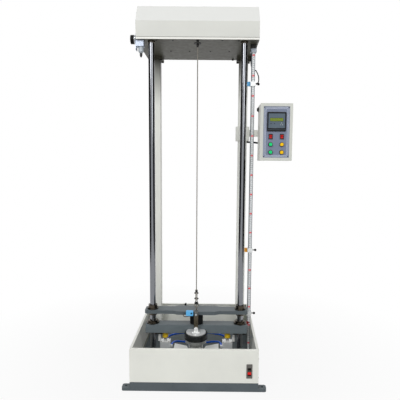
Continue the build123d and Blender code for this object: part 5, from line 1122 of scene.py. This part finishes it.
def light_world():
    """White for the camera, gloss and glass; a plain grey sky for the light itself."""
    world = bpy.data.worlds.new("studio")
    world.use_nodes = True
    bpy.context.scene.world = world
    tree = world.node_tree
    nodes = tree.nodes
    nodes.clear()
    rays = nodes.new("ShaderNodeLightPath")
    white = nodes.new("ShaderNodeBackground")
    white.inputs["Color"].default_value = (1.0, 1.0, 1.0, 1.0)
    white.inputs["Strength"].default_value = 1.0
    soft = nodes.new("ShaderNodeBackground")
    soft.inputs["Color"].default_value = (1.0, 1.0, 1.0, 1.0)
    soft.inputs["Strength"].default_value = SKY_STRENGTH
    seen = rays.outputs["Is Camera Ray"]
    for kind in WHITE_RAYS:
        either = nodes.new("ShaderNodeMath")
        either.operation = "MAXIMUM"
        tree.links.new(seen, either.inputs[0])
        tree.links.new(rays.outputs[kind], either.inputs[1])
        seen = either.outputs[0]
    mix = nodes.new("ShaderNodeMixShader")
    tree.links.new(seen, mix.inputs[0])
    tree.links.new(soft.outputs[0], mix.inputs[1])
    tree.links.new(white.outputs[0], mix.inputs[2])
    output = nodes.new("ShaderNodeOutputWorld")
    tree.links.new(mix.outputs[0], output.inputs[0])


def softbox(name, place, aim, size, power):
    """Area lamp that looks from one place to another."""
    data = bpy.data.lights.new(name, "AREA")
    data.shape = "RECTANGLE"
    data.size, data.size_y = size
    data.energy = power
    lamp = placed(name, data)
    lamp.location = place
    lamp.rotation_euler = (Vector(aim) - Vector(place)).to_track_quat("-Z", "Y").to_euler()


def black_flag(name, side):
    """Dark card beside the set that only gloss sees, so that round metal shows dark flanks."""
    x = side * FLAG_SIDE
    corners = [(x, FLAG_NEAR, 0), (x, FLAG_FAR, 0), (x, FLAG_FAR, FLAG_TOP), (x, FLAG_NEAR, FLAG_TOP)]
    mesh = bpy.data.meshes.new(name)
    mesh.from_pydata(corners, [], [(0, 1, 2, 3)])
    card = placed(name, mesh)
    finish = Finish(name)
    finish.set(Base_Color=(0.01, 0.01, 0.01, 1.0), Roughness=1.0)
    mesh.materials.append(finish.material)
    card.visible_camera = False
    card.visible_diffuse = False
    card.visible_shadow = False


def lay_floor():
    """Studio floor that shows white but keeps the machine's shadow."""
    corners = [(x * FLOOR_HALF, y * FLOOR_HALF, 0) for x, y in ((-1, -1), (1, -1), (1, 1), (-1, 1))]
    mesh = bpy.data.meshes.new("studio_floor")
    mesh.from_pydata(corners, [], [(0, 1, 2, 3)])
    floor = placed("studio_floor", mesh)
    finish = Finish("studio_floor_white")
    finish.set(Base_Color=(FLOOR_GREY, FLOOR_GREY, FLOOR_GREY, 1.0), Roughness=0.9)
    rays = finish.add("ShaderNodeLightPath")
    seen = rays.outputs["Is Camera Ray"]
    for kind in WHITE_RAYS:
        seen = finish.maths(seen, rays.outputs[kind], "MAXIMUM")
    glow = finish.add("ShaderNodeEmission", {"Strength": 1.0})
    mix = finish.add("ShaderNodeMixShader")
    distance = finish.add("ShaderNodeVectorMath", {0: finish.place}, operation="LENGTH").outputs["Value"]
    white = finish.span(distance, FLOOR_NEAR, FLOOR_FAR, FLOOR_SHADED, FLOOR_WHITE)
    finish.join(finish.maths(seen, white), mix.inputs[0])
    finish.join(finish.shader.outputs[0], mix.inputs[1])
    finish.join(glow.outputs[0], mix.inputs[2])
    output = finish.tree.nodes["Material Output"]
    finish.join(mix.outputs[0], output.inputs["Surface"])
    mesh.materials.append(finish.material)


light_world()
softbox("key_left", (-2.0, -3.2, 3.2), (0.0, 0.0, 0.8), (2.2, 2.2), 84.0)
softbox("fill_right", (2.1, -3.0, 2.4), (0.1, 0.0, 0.9), (2.0, 2.0), 40.0)
softbox("top_back", (0.4, 1.2, 3.9), (0.0, 0.0, 1.0), (2.2, 1.8), 18.0)
black_flag("black_flag_left", -1)
black_flag("black_flag_right", 1)
lay_floor()

view = bpy.context.scene.view_settings
view.view_transform = "Standard"
